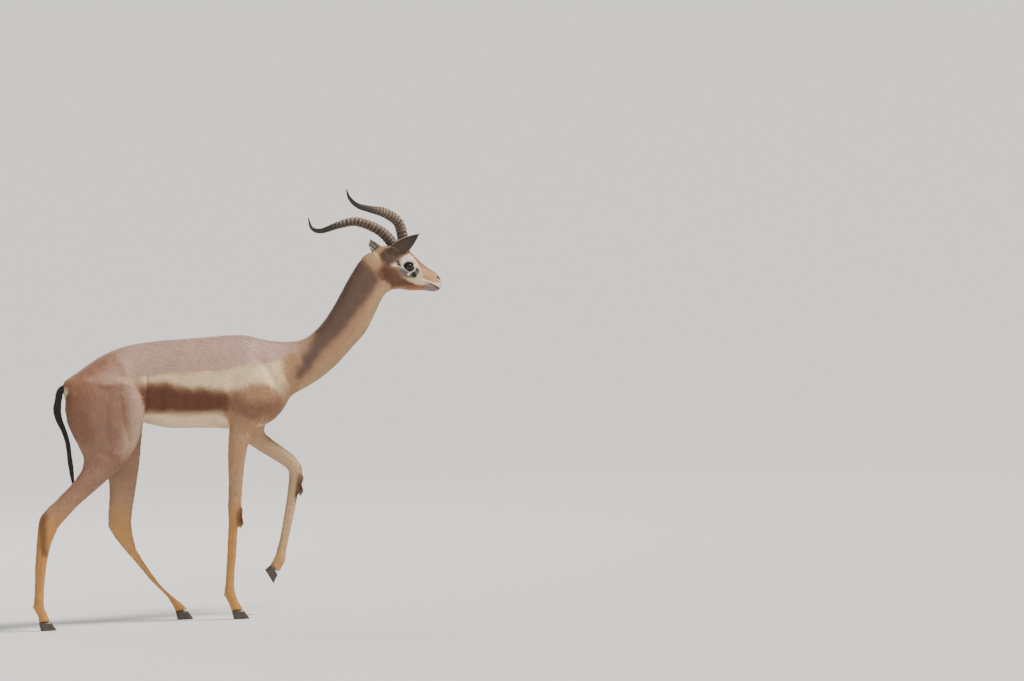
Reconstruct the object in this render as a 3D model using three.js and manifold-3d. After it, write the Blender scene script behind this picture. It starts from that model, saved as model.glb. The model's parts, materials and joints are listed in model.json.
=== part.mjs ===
// A male gerenuk, the long-necked antelope of East Africa, life size, in a slow walk.
// Millimetres. +X is the way it walks, +Y its left side, +Z up, and the floor is Z = 0.
import * as THREE from "three";
import { mergeVertices } from "three/addons/utils/BufferGeometryUtils.js";
import Module from "manifold-3d";

const wasm = await Module();
wasm.setup();

// Driving dimensions
const GAP = 0.3; // clear space between neighbouring nodes
const ORIGIN_X = 349; // from the belly's middle, where X was first measured, to the middle of the whole
const ORIGIN_Y = 32.6;

const RIGHT = -1; // the side of a piece, as the sign of Y
const LEFT = 1;

const HEAD_PIVOT = new THREE.Vector3(905, 12, 1215); // the joint between skull and neck
const HEAD_YAW = THREE.MathUtils.degToRad(18); // the head looks a little to its left
const HEAD_ROLL = THREE.MathUtils.degToRad(-14); // and its right side is held the higher

// Side outlines. Each row is one cross-section of the body: the X and Z of its upper or front
// end, the X and Z of its lower or rear end, half its breadth, the Y of its middle, and how
// far its widest level lies towards the first end, as a share of half its height.
const TORSO = [
  [-266, 874, -262, 836, 10, 0, 0],
  [-250, 892, -246, 796, 38, 0, 0],
  [-208, 917, -206, 768, 66, 0, 0.1],
  [-142, 959, -138, 752, 84, 0, 0.1],
  [-66, 992, -62, 738, 89, 0, 0],
  [9, 1007, 10, 724, 87, 0, -0.05],
  [94, 1014, 94, 699, 96, 0, -0.1],
  [179, 1015, 179, 693, 104, 0, -0.1],
  [263, 1017, 263, 688, 106, 0, -0.05],
  [340, 1019, 335, 680, 99, 0, 0],
  [400, 1015, 392, 680, 90, 0, 0],
  [452, 1000, 440, 686, 82, 0, -0.1],
  [494, 990, 486, 706, 73, 0, -0.2],
  [530, 984, 524, 745, 61, 0, -0.2],
  [560, 980, 552, 790, 45, 0, 0],
  [580, 960, 576, 830, 23, 0, 0],
];
const NECK = [
  [440, 985, 500, 760, 42, 0, -0.1],
  [500, 988, 548, 786, 52, 0, -0.2],
  [556, 984, 602, 812, 50, 0, -0.2],
  [606, 989, 662, 844, 48, 0, -0.1],
  [650, 1016, 726, 892, 45, 0, 0],
  [694, 1061, 784, 950, 43, 0, 0],
  [733, 1118, 836, 1002, 42, 2, 0],
  [766, 1172, 874, 1070, 42, 4, 0],
  [800, 1224, 906, 1126, 42, 8, 0],
  [838, 1272, 932, 1150, 40, 12, 0],
  [880, 1290, 950, 1170, 32, 14, 0],
];
// The head's own frame: X from the pivot towards the nose, Z up, before it is turned.
const HEAD = [
  [-26, 62, -20, -6, 22, 0, 0],
  [-8, 84, -4, -46, 38, 0, 0.1],
  [20, 92, 8, -78, 46, 0, 0.2],
  [56, 87, 30, -70, 49, 0, 0.3],
  [88, 75, 56, -68, 49, 0, 0.35],
  [116, 56, 82, -73, 46, 0, 0.3],
  [139, 32, 106, -77, 37, 0, 0.2],
  [160, 13, 131, -78, 29, 0, 0.1],
  [180, -2, 152, -80, 24, 0, 0.1],
  [197, -14, 172, -84, 23, 0, 0],
  [210, -27, 190, -86, 22, 0, 0],
  [218, -43, 204, -84, 18, 0, 0],
  [222, -60, 213, -79, 9, 0, 0],
];

const HIND_RIGHT = [
  [-60, 940, -236, 872, 29, -53, 0],
  [8, 884, -262, 836, 45, -64, 0],
  [26, 818, -266, 792, 52, -67, 0],
  [20, 750, -262, 745, 50, -71, 0],
  [8, 694, -248, 704, 45, -72, 0],
  [-12, 645, -226, 656, 38, -74, 0],
  [-44, 600, -208, 612, 33, -76, 0],
  [-84, 560, -216, 572, 28, -77, 0],
  [-134, 520, -246, 530, 29, -77, 0],
  [-188, 478, -280, 499, 26, -77, 0],
  [-236, 440, -316, 466, 23, -77, 0],
  [-275, 402, -352, 437, 21, -77, 0],
  [-308, 368, -375, 412, 20, -77, 0],
  [-326, 336, -385, 372, 20, -77, 0],
  [-340, 305, -392, 328, 17, -77, 0],
  [-352, 266, -398, 276, 14, -77, 0],
  [-360, 226, -404, 230, 13, -76, 0],
  [-368, 180, -407, 182, 13, -75, 0],
  [-374, 140, -410, 140, 14, -74, 0],
  [-376, 106, -414, 108, 17, -73, 0],
  [-376, 80, -416, 80, 17, -72, 0],
  [-366, 56, -402, 52, 15, -72, 0],
  [-358, 32, -402, 26, 17, -72, 0],
];
const HIND_LEFT = [
  [-40, 945, -236, 872, 29, 53, 0],
  [14, 890, -262, 836, 45, 64, 0],
  [30, 820, -256, 790, 52, 67, 0],
  [28, 756, -232, 736, 48, 71, 0],
  [18, 704, -196, 680, 41, 72, 0],
  [8, 640, -156, 622, 34, 73, 0],
  [0, 580, -128, 564, 28, 74, 0],
  [-14, 510, -119, 502, 28, 75, 0],
  [-27, 450, -122, 444, 25, 75, 0],
  [-38, 398, -129, 392, 22, 75, 0],
  [-44, 350, -132, 350, 21, 75, 0],
  [-41, 308, -112, 314, 20, 75, 0],
  [-32, 262, -86, 276, 16, 75, 0],
  [-8, 216, -52, 232, 14, 74, 0],
  [20, 170, -20, 190, 13, 73, 0],
  [46, 130, 10, 148, 14, 72, 0],
  [76, 96, 44, 112, 17, 71, 0],
  [98, 76, 70, 82, 17, 71, 0],
  [120, 58, 88, 48, 15, 71, 0],
  [140, 38, 96, 24, 17, 71, 0],
];
const FORE_RIGHT = [
  [420, 968, 346, 974, 14, -52, 0],
  [458, 900, 318, 905, 26, -69, 0],
  [488, 826, 312, 836, 33, -76, 0],
  [484, 762, 318, 770, 36, -77, 0],
  [440, 712, 322, 716, 33, -76, 0],
  [406, 670, 317, 668, 28, -74, 0],
  [384, 616, 312, 620, 29, -72, 0],
  [369, 550, 308, 550, 25, -71, 0],
  [360, 490, 307, 490, 22, -69, 0],
  [354, 440, 303, 440, 22, -67, 0],
  [350, 400, 299, 398, 23, -66, 0],
  [348, 362, 300, 360, 20, -65, 0],
  [332, 326, 297, 326, 15, -64, 0],
  [328, 280, 292, 280, 13, -64, 0],
  [322, 226, 287, 228, 13, -63, 0],
  [314, 176, 281, 178, 13, -62, 0],
  [310, 130, 276, 132, 14, -61, 0],
  [310, 104, 270, 104, 17, -60, 0],
  [314, 82, 274, 78, 17, -60, 0],
  [322, 58, 286, 52, 15, -60, 0],
  [338, 34, 292, 26, 17, -60, 0],
];
const FORE_LEFT = [
  [420, 968, 346, 974, 14, 52, 0],
  [462, 900, 322, 905, 26, 69, 0],
  [494, 826, 316, 826, 33, 76, 0],
  [492, 762, 322, 740, 36, 77, 0],
  [464, 706, 336, 674, 33, 76, 0],
  [452, 658, 376, 630, 28, 73, 0],
  [482, 628, 430, 590, 29, 71, 0],
  [520, 598, 474, 560, 25, 68, 0],
  [552, 572, 508, 536, 22, 65, 0],
  [580, 530, 530, 516, 23, 64, 0],
  [582, 492, 530, 492, 23, 63, 0],
  [570, 456, 526, 458, 20, 62, 0],
  [556, 410, 518, 416, 15, 61, 0],
  [545, 362, 508, 370, 13, 60, 0],
  [530, 310, 496, 316, 13, 59, 0],
  [517, 262, 484, 268, 13, 58, 0],
  [508, 228, 472, 232, 14, 58, 0],
  [504, 204, 464, 206, 17, 57, 0],
  [500, 184, 462, 190, 17, 57, 0],
  [488, 170, 453, 190, 15, 57, 0],
  [480, 149, 440, 173, 17, 57, 0],
];
// Where the thin cuts part each leg: at stifle or elbow, hock or knee, and fetlock.
// Each row is the X and Z of the cut's middle and the slope of its normal from upright.
const CUTS = {
  hind_right: [[-125, 603, 38], [-345, 375, 38], [-394, 112, 4]],
  hind_left: [[-72, 625, 8], [-80, 330, -30], [44, 124, -50]],
  fore_right: [[362, 690, 0], [325, 372, 0], [292, 118, 0]],
  fore_left: [[410, 668, -50], [548, 474, 4], [486, 218, 8]],
};
const KNEES = { fore_right: [350, 372], fore_left: [576, 468] }; // where each knee's brush grows
const HEELS = {
  hind_right: [-414, 92],
  hind_left: [52, 84],
  fore_right: [272, 92],
  fore_left: [462, 200],
};
const LEG_PIECES = {
  hind: ["thigh", "gaskin", "cannon", "pastern"],
  fore: ["shoulder", "forearm", "cannon", "pastern"],
};

const HOOF_LENGTH = 58;
const HOOF_WIDTH = 19;
const HOOF_HEIGHT = 30;
const HOOF_SPLIT = 10.5; // from the foot's middle to the middle of each toe
const FEET = {
  hind_right: { toe: [-366, 0], y: -72, lift: 0 },
  hind_left: { toe: [130, 0], y: 71, lift: 0 },
  fore_right: { toe: [328, 0], y: -60, lift: 0 },
  fore_left: { toe: [440, 136], y: 57, lift: 62 },
};

// The tail's middle line, as X, Z and half thickness.
const TAIL = [
  [-245, 868, 12],
  [-274, 852, 11],
  [-284, 820, 11],
  [-290, 785, 12],
  [-286, 750, 10],
  [-272, 712, 8],
  [-260, 670, 7],
  [-256, 620, 7],
  [-252, 570, 7],
  [-249, 535, 5],
];

// Horns in the head's frame, as X, distance from the middle, Z and thickness half way across.
const HORN_RIGHT = [
  [84, 30, 60, 22],
  [83, 37, 120, 20],
  [66, 52, 168, 18],
  [12, 76, 198, 16],
  [-54, 102, 211, 13],
  [-104, 122, 222, 10],
  [-136, 135, 248, 7],
  [-146, 140, 282, 2],
];
const HORN_LEFT = [
  [80, 30, 60, 22],
  [64, 38, 118, 20],
  [28, 58, 168, 18],
  [-38, 84, 206, 16],
  [-100, 106, 203, 13],
  [-160, 128, 191, 10],
  [-190, 140, 206, 7],
  [-198, 142, 246, 2],
];
const HORN_RINGS = 16;
const RING_SPACING = 15;
const RING_PROFILE = [0, 2.6, 2.0]; // how far the horn stands out along one ring

// Head details, in the head's frame, as X, distance from the middle and Z
const EYE = [89, 35, 2];
const EYE_RADIUS = 18;
const LIDS = { long: 17.5, high: 13, thick: 4.5 };
const BROW = [
  [64, 45, 18],
  [84, 47, 27],
  [104, 42, 25],
  [122, 32, 14],
];
const NOSTRIL = [
  [216, 11, -47],
  [208, 17, -40],
  [198, 19, -38],
];
const GLAND = [124, 34, -12]; // the scent gland in front of the eye
const MOUTH_CORNER = [140, -51];
const MOUTH_FRONT = [216, -79];
const MOUTH_SLIT = 1.8;
const LIP_DEPTH = 5;

const EAR_BASE = [12, 36, 44];
const EAR_TIP_RIGHT = [124, 97, 108];
const EAR_TIP_LEFT = [29, 142, 148];
const EAR_WIDTH = 50;
const EAR_THICKNESS = 4;
const EAR_ROOT = [ // how far along the ear, and half the root's thickness there
  [-26, 27],
  [-8, 23],
  [8, 17],
  [22, 9],
];

// Hair long enough to change the outline
const TAIL_LOCKS = 12;
const TUFT_LOCKS = 6;
const KNEE_LOCKS = 4;
const BROW_LOCKS = 3;

// Rows of numbers, filled in between with a smooth curve through every row
function smoothRows(rows, steps) {
  const at = (i) => rows[Math.min(Math.max(i, 0), rows.length - 1)];
  const out = [];
  for (let i = 0; i < rows.length - 1; i++) {
    for (let k = 0; k < steps; k++) {
      const t = k / steps;
      out.push(
        rows[i].map((_, c) => {
          const [p, q, r, s] = [at(i - 1)[c], at(i)[c], at(i + 1)[c], at(i + 2)[c]];
          const a = 2 * q;
          const b = (r - p) * t;
          const d = (2 * p - 5 * q + 4 * r - s) * t * t;
          const e = (3 * q - p - 3 * r + s) * t * t * t;
          return (a + b + d + e) / 2;
        }),
      );
    }
  }
  out.push(rows[rows.length - 1]);
  return out;
}

// One closed surface through rings of equally many points, with a fan on each end
function skin(rings) {
  const count = rings[0].length;
  const middle = (ring) =>
    ring.reduce((sum, p) => sum.add(p), new THREE.Vector3()).divideScalar(count);
  const points = [...rings.flat(), middle(rings[0]), middle(rings[rings.length - 1])];
  const faces = [];
  for (let i = 0; i < rings.length - 1; i++) {
    for (let j = 0; j < count; j++) {
      const a = i * count + j;
      const b = i * count + ((j + 1) % count);
      faces.push(a, b, a + count, b, b + count, a + count);
    }
  }
  const first = rings.length * count;
  const last = (rings.length - 1) * count;
  for (let j = 0; j < count; j++) {
    const k = (j + 1) % count;
    faces.push(first, k, j, first + 1, last + j, last + k);
  }
  return new THREE.BufferGeometry().setFromPoints(points).setIndex(faces);
}

// A body of oval cross-sections from a side outline
function outlineBody(rows, steps, sides, squareness = 2.2) {
  const power = (v) => Math.sign(v) * Math.abs(v) ** (2 / squareness);
  const rings = smoothRows(rows, steps).map(([xa, za, xb, zb, half, y, widest]) =>
    Array.from({ length: sides }, (_, j) => {
      const turn = (2 * Math.PI * j) / sides;
      const q = power(Math.sin(turn));
      const level = (1 + q + widest * (1 - q * q)) / 2;
      return new THREE.Vector3(
        xb + (xa - xb) * level,
        y + half * power(Math.cos(turn)),
        zb + (za - zb) * level,
      );
    }),
  );
  return skin(rings);
}

// A rod along a smooth path. size(share) gives its two half thicknesses at that share of it.
function rod(points, shares, sides, size) {
  const path = new THREE.CatmullRomCurve3(points, false, "centripetal");
  const start = path.getTangentAt(0);
  const normal = new THREE.Vector3(0, 1, 0).addScaledVector(start, -start.y).normalize();
  const rings = shares.map((share) => {
    const along = path.getTangentAt(share);
    normal.addScaledVector(along, -normal.dot(along)).normalize();
    const across = new THREE.Vector3().crossVectors(along, normal);
    const [wide, thick] = size(share);
    return Array.from({ length: sides }, (_, j) => {
      const turn = (2 * Math.PI * j) / sides;
      return path
        .getPointAt(share)
        .addScaledVector(normal, wide * Math.cos(turn))
        .addScaledVector(across, thick * Math.sin(turn));
    });
  });
  return skin(rings);
}

const evenly = (steps) => Array.from({ length: steps + 1 }, (_, i) => i / steps);

// A value read between the rows' own values, at a share of the way along them
function between(values, share) {
  const spot = share * (values.length - 1);
  const i = Math.min(Math.floor(spot), values.length - 2);
  return THREE.MathUtils.lerp(values[i], values[i + 1], spot - i);
}

// A flat, tapered lock of hair through three points
function lock(points, width, thick) {
  const size = (share) => {
    const full = Math.max(0.12, Math.sin(Math.PI * (0.35 + 0.63 * share)));
    return [(width / 2) * full, (thick / 2) * full];
  };
  return solid(rod(points, evenly(3), 4, size));
}

// Chance that comes out the same each time
function chances(seed) {
  let state = seed;
  return () => {
    state = (state * 1664525 + 1013904223) % 4294967296;
    return state / 4294967296;
  };
}

// A three.js geometry as a solid with its faces outwards, ready to be joined or cut
function solid(geometry) {
  const bare = geometry.clone();
  bare.deleteAttribute("normal");
  bare.deleteAttribute("uv");
  const merged = mergeVertices(bare, 1e-4);
  const corners = merged.attributes.position.array;
  const faces = Uint32Array.from(merged.index.array);
  const make = () =>
    new wasm.Manifold(new wasm.Mesh({ numProp: 3, vertProperties: corners, triVerts: faces }));
  const made = make();
  if (made.volume() > 0) return made;
  for (let i = 0; i < faces.length; i += 3) {
    [faces[i + 1], faces[i + 2]] = [faces[i + 2], faces[i + 1]];
  }
  return make();
}

function geometryOf(body) {
  const mesh = body.getMesh();
  const geometry = new THREE.BufferGeometry();
  geometry.setAttribute("position", new THREE.BufferAttribute(mesh.vertProperties, 3));
  geometry.setIndex(new THREE.BufferAttribute(mesh.triVerts, 1));
  return geometry;
}

// The same body, larger by the gap all round: a cutter that leaves its neighbour clear
function grown(body, gap = GAP) {
  const geometry = mergeVertices(geometryOf(body), 1e-3);
  geometry.computeVertexNormals();
  const { position, normal } = geometry.attributes;
  for (let i = 0; i < position.count; i++) {
    const p = new THREE.Vector3().fromBufferAttribute(position, i);
    p.addScaledVector(new THREE.Vector3().fromBufferAttribute(normal, i), gap);
    position.setXYZ(i, p.x, p.y, p.z);
  }
  return solid(geometry);
}

const largest = (body) =>
  body.decompose().reduce((best, b) => (b.volume() > best.volume() ? b : best));
const join = (bodies) => bodies.reduce((sum, b) => sum.add(b));
const cut = (body, cutters) => cutters.reduce((rest, c) => rest.subtract(c), body);

// A thin plate across the side outline, its normal sloped from upright towards +X
function plate([x, z, slope], size, y = 0, breadth = 400) {
  const box = new THREE.BoxGeometry(size, breadth, GAP);
  box.rotateY(THREE.MathUtils.degToRad(slope));
  box.translate(x, y, z);
  return solid(box);
}

// Turns a geometry or point made in the head's frame into place
function headMatrix() {
  return new THREE.Matrix4()
    .makeTranslation(HEAD_PIVOT.x, HEAD_PIVOT.y, HEAD_PIVOT.z)
    .multiply(new THREE.Matrix4().makeRotationZ(HEAD_YAW))
    .multiply(new THREE.Matrix4().makeRotationX(HEAD_ROLL));
}
const IN_HEAD = headMatrix();
const inHead = (side, [x, out, z]) => new THREE.Vector3(x, side * out, z).applyMatrix4(IN_HEAD);

function horn(side, rows) {
  const points = rows.map((row) => inHead(side, row));
  const length = new THREE.CatmullRomCurve3(points, false, "centripetal").getLength();
  const perRing = RING_PROFILE.length;
  const ringed = Array.from(
    { length: HORN_RINGS * perRing },
    (_, i) => (i * RING_SPACING) / perRing / length,
  );
  const from = (HORN_RINGS * RING_SPACING) / length;
  const smooth = evenly(8).map((share) => from + (1 - from) * share);
  const shares = [...ringed, ...smooth];
  const half = rows.map((row) => row[3]);
  const size = (share) => {
    const step = Math.round((share * length * perRing) / RING_SPACING);
    const ridge = share < from ? RING_PROFILE[step % perRing] : 0;
    const thick = between(half, share) + ridge;
    return [thick, thick];
  };
  return solid(rod(points, shares, 10, size));
}

// The ear is a leaf rolled into a cup, open towards the front and the outside
function earFrame(side, tip) {
  const base = inHead(side, EAR_BASE);
  const axis = inHead(side, tip).sub(base);
  const length = axis.length();
  axis.normalize();
  const outward = inHead(side, [0, 1, 0]).sub(inHead(side, [0, 0, 0]));
  const across = new THREE.Vector3().crossVectors(axis, outward).normalize();
  const back = new THREE.Vector3().crossVectors(across, axis).normalize();
  return { base, axis, length, across, back };
}

// The fleshy root from which an ear's leaf rises
function earRoot(side, tip) {
  const { base, axis, back } = earFrame(side, tip);
  const inward = EAR_ROOT.map(([reach, half]) =>
    base.clone().addScaledVector(axis, reach).addScaledVector(back, -0.72 * half),
  );
  const half = EAR_ROOT.map((row) => row[1]);
  return solid(rod(inward, evenly(5), 10, (share) => [between(half, share), between(half, share)]));
}

function ear(side, tip) {
  const { base, axis, length, across, back } = earFrame(side, tip);
  const half = 7;
  const rings = Array.from({ length: 13 }, (_, i) => {
    const share = i / 12;
    const width = (EAR_WIDTH / 2) * Math.sin(Math.PI * (0.16 + 0.83 * share)) ** 0.9;
    const roll = THREE.MathUtils.lerp(2.3, 0.7, Math.min(1, share * 1.5));
    const curve = width / Math.sin(Math.min(roll, Math.PI / 2));
    const thick = EAR_THICKNESS * (1 - 0.6 * share);
    const middle = base.clone().addScaledVector(axis, share * length);
    const arc = (radius, angle) =>
      middle
        .clone()
        .addScaledVector(across, radius * Math.sin(angle))
        .addScaledVector(back, radius * Math.cos(angle) - curve);
    const outer = Array.from({ length: half }, (_, j) => arc(curve, roll * ((2 * j) / (half - 1) - 1)));
    const inner = Array.from({ length: half }, (_, j) =>
      arc(Math.max(curve - thick, 1), roll * (1 - (2 * j) / (half - 1))),
    );
    return [...outer, ...inner];
  });
  return solid(skin(rings));
}

function eyeball(side) {
  const ball = new THREE.SphereGeometry(EYE_RADIUS, 16, 10);
  const [x, out, z] = EYE;
  ball.translate(x, side * out, z);
  return solid(ball.applyMatrix4(IN_HEAD));
}

// Both lids as one almond-shaped rim that lies on the eyeball
function lids(side) {
  const [x, out, z] = EYE;
  const round = 18;
  const rim = Array.from({ length: round }, (_, i) => {
    const turn = (2 * Math.PI * i) / round;
    const along = LIDS.long * Math.cos(turn);
    const up = LIDS.high * Math.sin(turn);
    const reach = Math.sqrt(Math.max((EYE_RADIUS + 1) ** 2 - along ** 2 - up ** 2, 1));
    return new THREE.Vector3(x + along, side * (out + reach), z + up);
  });
  const tube = new THREE.TubeGeometry(new THREE.CatmullRomCurve3(rim, true), 24, LIDS.thick, 6, true);
  return solid(tube.applyMatrix4(IN_HEAD));
}

function brow(side) {
  const points = BROW.map((p) => inHead(side, p));
  const size = (share) => [3 + 6 * Math.sin(Math.PI * share), 3 + 6 * Math.sin(Math.PI * share)];
  return solid(rod(points, evenly(8), 8, size));
}

function nostril(side) {
  const points = NOSTRIL.map((p) => inHead(side, p));
  const size = (share) => [1.5 + 2.5 * Math.sin(Math.PI * share), 2 + 2 * (1 - share)];
  return solid(rod(points, evenly(5), 8, size));
}

function gland(side) {
  const dent = new THREE.SphereGeometry(6, 8, 6).scale(1.2, 0.5, 0.8);
  const place = inHead(side, GLAND);
  return solid(dent.translate(place.x, place.y, place.z));
}

// The slit between the lips, cut only as deep as the lips
function mouth() {
  const [backX, backZ] = MOUTH_CORNER;
  const [frontX, frontZ] = MOUTH_FRONT;
  const slope = Math.atan2(backZ - frontZ, frontX - backX);
  const slit = new THREE.BoxGeometry(120, 100, MOUTH_SLIT);
  slit.translate(60, 0, 0).rotateY(slope).translate(backX, 0, backZ).applyMatrix4(IN_HEAD);
  const core = HEAD.map(([xa, za, xb, zb, half, y, widest]) => [
    xa - LIP_DEPTH, za - LIP_DEPTH, xb - LIP_DEPTH, zb + LIP_DEPTH, Math.max(half - LIP_DEPTH, 3), y, widest,
  ]);
  return solid(slit).subtract(solid(outlineBody(core, 1, 16).applyMatrix4(IN_HEAD)));
}

// The small red tuft between the horns and the eyes
function browLocks() {
  return evenly(BROW_LOCKS - 1).map((share) => {
    const side = (share - 0.5) * 28;
    const root = inHead(1, [98, side, 58]);
    const middle = inHead(1, [108, side * 1.1, 68]);
    const tip = inHead(1, [120, side * 1.2, 70]);
    return lock([root, middle, tip], 14, 7);
  });
}

// Black hair along the tail, longer in the tuft at its end
function tailLocks() {
  const chance = chances(7);
  const path = new THREE.CatmullRomCurve3(TAIL.map(([x, z]) => new THREE.Vector3(x, 0, z)));
  const half = TAIL.map((row) => row[2]);
  return evenly(TAIL_LOCKS + TUFT_LOCKS - 1).map((order, i) => {
    const share = i < TAIL_LOCKS ? 0.14 + (0.8 * i) / TAIL_LOCKS : 0.93;
    const turn = i * 2.4;
    const out = new THREE.Vector3(Math.cos(turn), Math.sin(turn), 0);
    const at = (where, away) => path.getPointAt(Math.min(where, 1)).addScaledVector(out, away);
    const thick = between(half, share);
    const reach = 0.1 + 0.05 * chance();
    const tip = at(share + reach, thick * 0.9 + 3);
    if (i >= TAIL_LOCKS) tip.z -= 18 + 16 * chance();
    return lock([at(share, thick * 0.4), at(share + reach / 2, thick * 0.85), tip], 9, 5);
  });
}

// The dark brush that hangs from the inner front of each knee
function kneeLocks([x, z], y) {
  const chance = chances(Math.round(x));
  return evenly(KNEE_LOCKS - 1).map((share) => {
    const across = y + (share - 0.5) * 24;
    const root = new THREE.Vector3(x - 12, across, z);
    const middle = new THREE.Vector3(x - 3, across, z - 18);
    const tip = new THREE.Vector3(x - 6, across, z - 36 - 8 * chance());
    return lock([root, middle, tip], 12, 8);
  });
}

// The two small side claws behind a fetlock
function dewclaws([x, z], y) {
  return [-1, 1].map((side) => {
    const root = new THREE.Vector3(x + 6, y + side * 9, z + 6);
    const tip = new THREE.Vector3(x - 8, y + side * 11, z - 10);
    const middle = root.clone().lerp(tip, 0.5);
    return solid(rod([root, middle, tip], evenly(2), 6, (share) => [6 - 4 * share, 6 - 4 * share]));
  });
}

// One hoof of a cloven foot: a flat sole, a pointed toe and a sloping front
function hoof(foot, side) {
  const rings = [0, 0.35, 1].map((up) => {
    const length = HOOF_LENGTH * (1 - 0.25 * up);
    const shift = -HOOF_LENGTH * 0.22 * up;
    const width = HOOF_WIDTH * (1 - 0.12 * up);
    return Array.from({ length: 12 }, (_, j) => {
      const turn = (2 * Math.PI * j) / 12;
      const taper = 1 - 0.35 * Math.max(0, Math.cos(turn));
      return new THREE.Vector3(
        shift + (length / 2) * Math.cos(turn),
        (width / 2) * taper * Math.sin(turn),
        HOOF_HEIGHT * up,
      );
    });
  });
  const made = skin(rings);
  made.translate(0, side * HOOF_SPLIT, 0);
  made.rotateY(THREE.MathUtils.degToRad(foot.lift));
  made.translate(foot.toe[0], foot.y, foot.toe[1]);
  return solid(made);
}

const MATERIALS = {
  coat: new THREE.MeshStandardMaterial({ color: 0xa9755a, roughness: 0.9, metalness: 0 }),
  pale: new THREE.MeshStandardMaterial({ color: 0xc79a63, roughness: 0.9, metalness: 0 }),
  black_hair: new THREE.MeshStandardMaterial({ color: 0x17120f, roughness: 0.85, metalness: 0 }),
  horn: new THREE.MeshStandardMaterial({ color: 0x3b2f2a, roughness: 0.6, metalness: 0 }),
  hoof: new THREE.MeshStandardMaterial({ color: 0x241d19, roughness: 0.5, metalness: 0 }),
  eye: new THREE.MeshStandardMaterial({ color: 0x0c0806, roughness: 0.08, metalness: 0 }),
};

const gerenuk = new THREE.Group();
gerenuk.name = "gerenuk";

function add(name, body, material) {
  const mesh = new THREE.Mesh(geometryOf(body), MATERIALS[material].clone());
  mesh.name = name;
  gerenuk.add(mesh);
}

// Legs: each one long body from hip or shoulder to hoof, parted by thin cuts
const OUTLINES = {
  hind_right: HIND_RIGHT,
  hind_left: HIND_LEFT,
  fore_right: FORE_RIGHT,
  fore_left: FORE_LEFT,
};
const legs = {};
for (const [leg, rows] of Object.entries(OUTLINES)) {
  const foot = FEET[leg];
  const hooves = [-1, 1].map((side) => hoof(foot, side));
  const hair = KNEES[leg] ? kneeLocks(KNEES[leg], foot.y) : [];
  const flesh = join([solid(outlineBody(rows, 1, 14, 2)), ...hair, ...dewclaws(HEELS[leg], foot.y)]);
  const whole = cut(flesh, hooves.map((h) => grown(h)));
  legs[leg] = whole;
  const plates = CUTS[leg].map((place) => plate(place, 340, foot.y, 260));
  const pieces = cut(whole, plates)
    .decompose()
    .filter((p) => p.volume() > 2000)
    .sort((a, b) => b.boundingBox().max[2] - a.boundingBox().max[2]);
  pieces.forEach((piece, i) => {
    const name = LEG_PIECES[leg.slice(0, 4)][i];
    add(`${leg}_${name}`, piece, i > 1 ? "pale" : "coat");
  });
  hooves.forEach((h, i) => add(`${leg}_hoof_${i ? "left" : "right"}`, h, "hoof"));
}

// Trunk, neck and head: joined whole, then parted by two thin cuts
const BOTH = [LEFT, RIGHT];
const face = join([
  solid(outlineBody(HEAD, 2, 20).applyMatrix4(IN_HEAD)),
  ...BOTH.flatMap((side) => [lids(side), brow(side)]),
  earRoot(LEFT, EAR_TIP_LEFT),
  earRoot(RIGHT, EAR_TIP_RIGHT),
  ...browLocks(),
]);
const head = cut(face, [mouth(), ...BOTH.flatMap((side) => [nostril(side), gland(side)])]);
const tailHalf = TAIL.map((row) => row[2]);
const tailCore = rod(
  TAIL.map(([x, z]) => new THREE.Vector3(x, 0, z)),
  evenly(16),
  8,
  (share) => [0.8 * between(tailHalf, share), 0.8 * between(tailHalf, share)],
);
const tail = largest(join([solid(tailCore), ...tailLocks()]));
const trunk = join([solid(outlineBody(TORSO, 2, 22)), solid(outlineBody(NECK, 2, 16)), head]);
const NECK_CUT = [566, 890, 72];
const HEAD_CUT = [886, 1212, 48];
const parted = cut(trunk, [plate(NECK_CUT, 330), plate(HEAD_CUT, 230)])
  .decompose()
  .filter((p) => p.volume() > 2000)
  .sort((a, b) => a.boundingBox().min[0] - b.boundingBox().min[0]);

const horns = { left: horn(LEFT, HORN_LEFT), right: horn(RIGHT, HORN_RIGHT) };
const eyes = { left: eyeball(LEFT), right: eyeball(RIGHT) };
const ears = { left: ear(LEFT, EAR_TIP_LEFT), right: ear(RIGHT, EAR_TIP_RIGHT) };

const rooted = [...Object.values(legs), tail].map((b) => grown(b));
const inSkull = [...Object.values(horns), ...Object.values(eyes)].map((b) => grown(b));
const [torso, neck, skull] = [rooted, inSkull, inSkull].map((cutters, i) =>
  largest(cut(parted[i], cutters)),
);
add("torso", torso, "coat");
add("neck", neck, "coat");
add("head", skull, "coat");
add("tail", tail, "black_hair");
for (const side of ["left", "right"]) {
  const others = [skull, neck, horns[side]].map((b) => grown(b));
  add(`horn_${side}`, horns[side], "horn");
  add(`ear_${side}`, largest(cut(ears[side], others)), "coat");
  add(`eye_${side}`, eyes[side], "eye");
}

gerenuk.position.set(-ORIGIN_X, -ORIGIN_Y, 0);
gerenuk.updateMatrixWorld(true);

export default gerenuk;
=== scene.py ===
# %% [markdown]
# # A gerenuk ram, walking
# The gerenuk is an antelope with a very long neck, thin legs and ringed horns. Its coat is short and
# sleek, so its looks rest on the shape of the muscles under one skin, on the markings, and on a fine
# nap of hair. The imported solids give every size. Here they are only copied and never moved.

# %% Load the frame
import json
import math

import bmesh
import bpy
import numpy as np
from mathutils import Matrix, Vector
from mathutils.bvhtree import BVHTree

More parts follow.
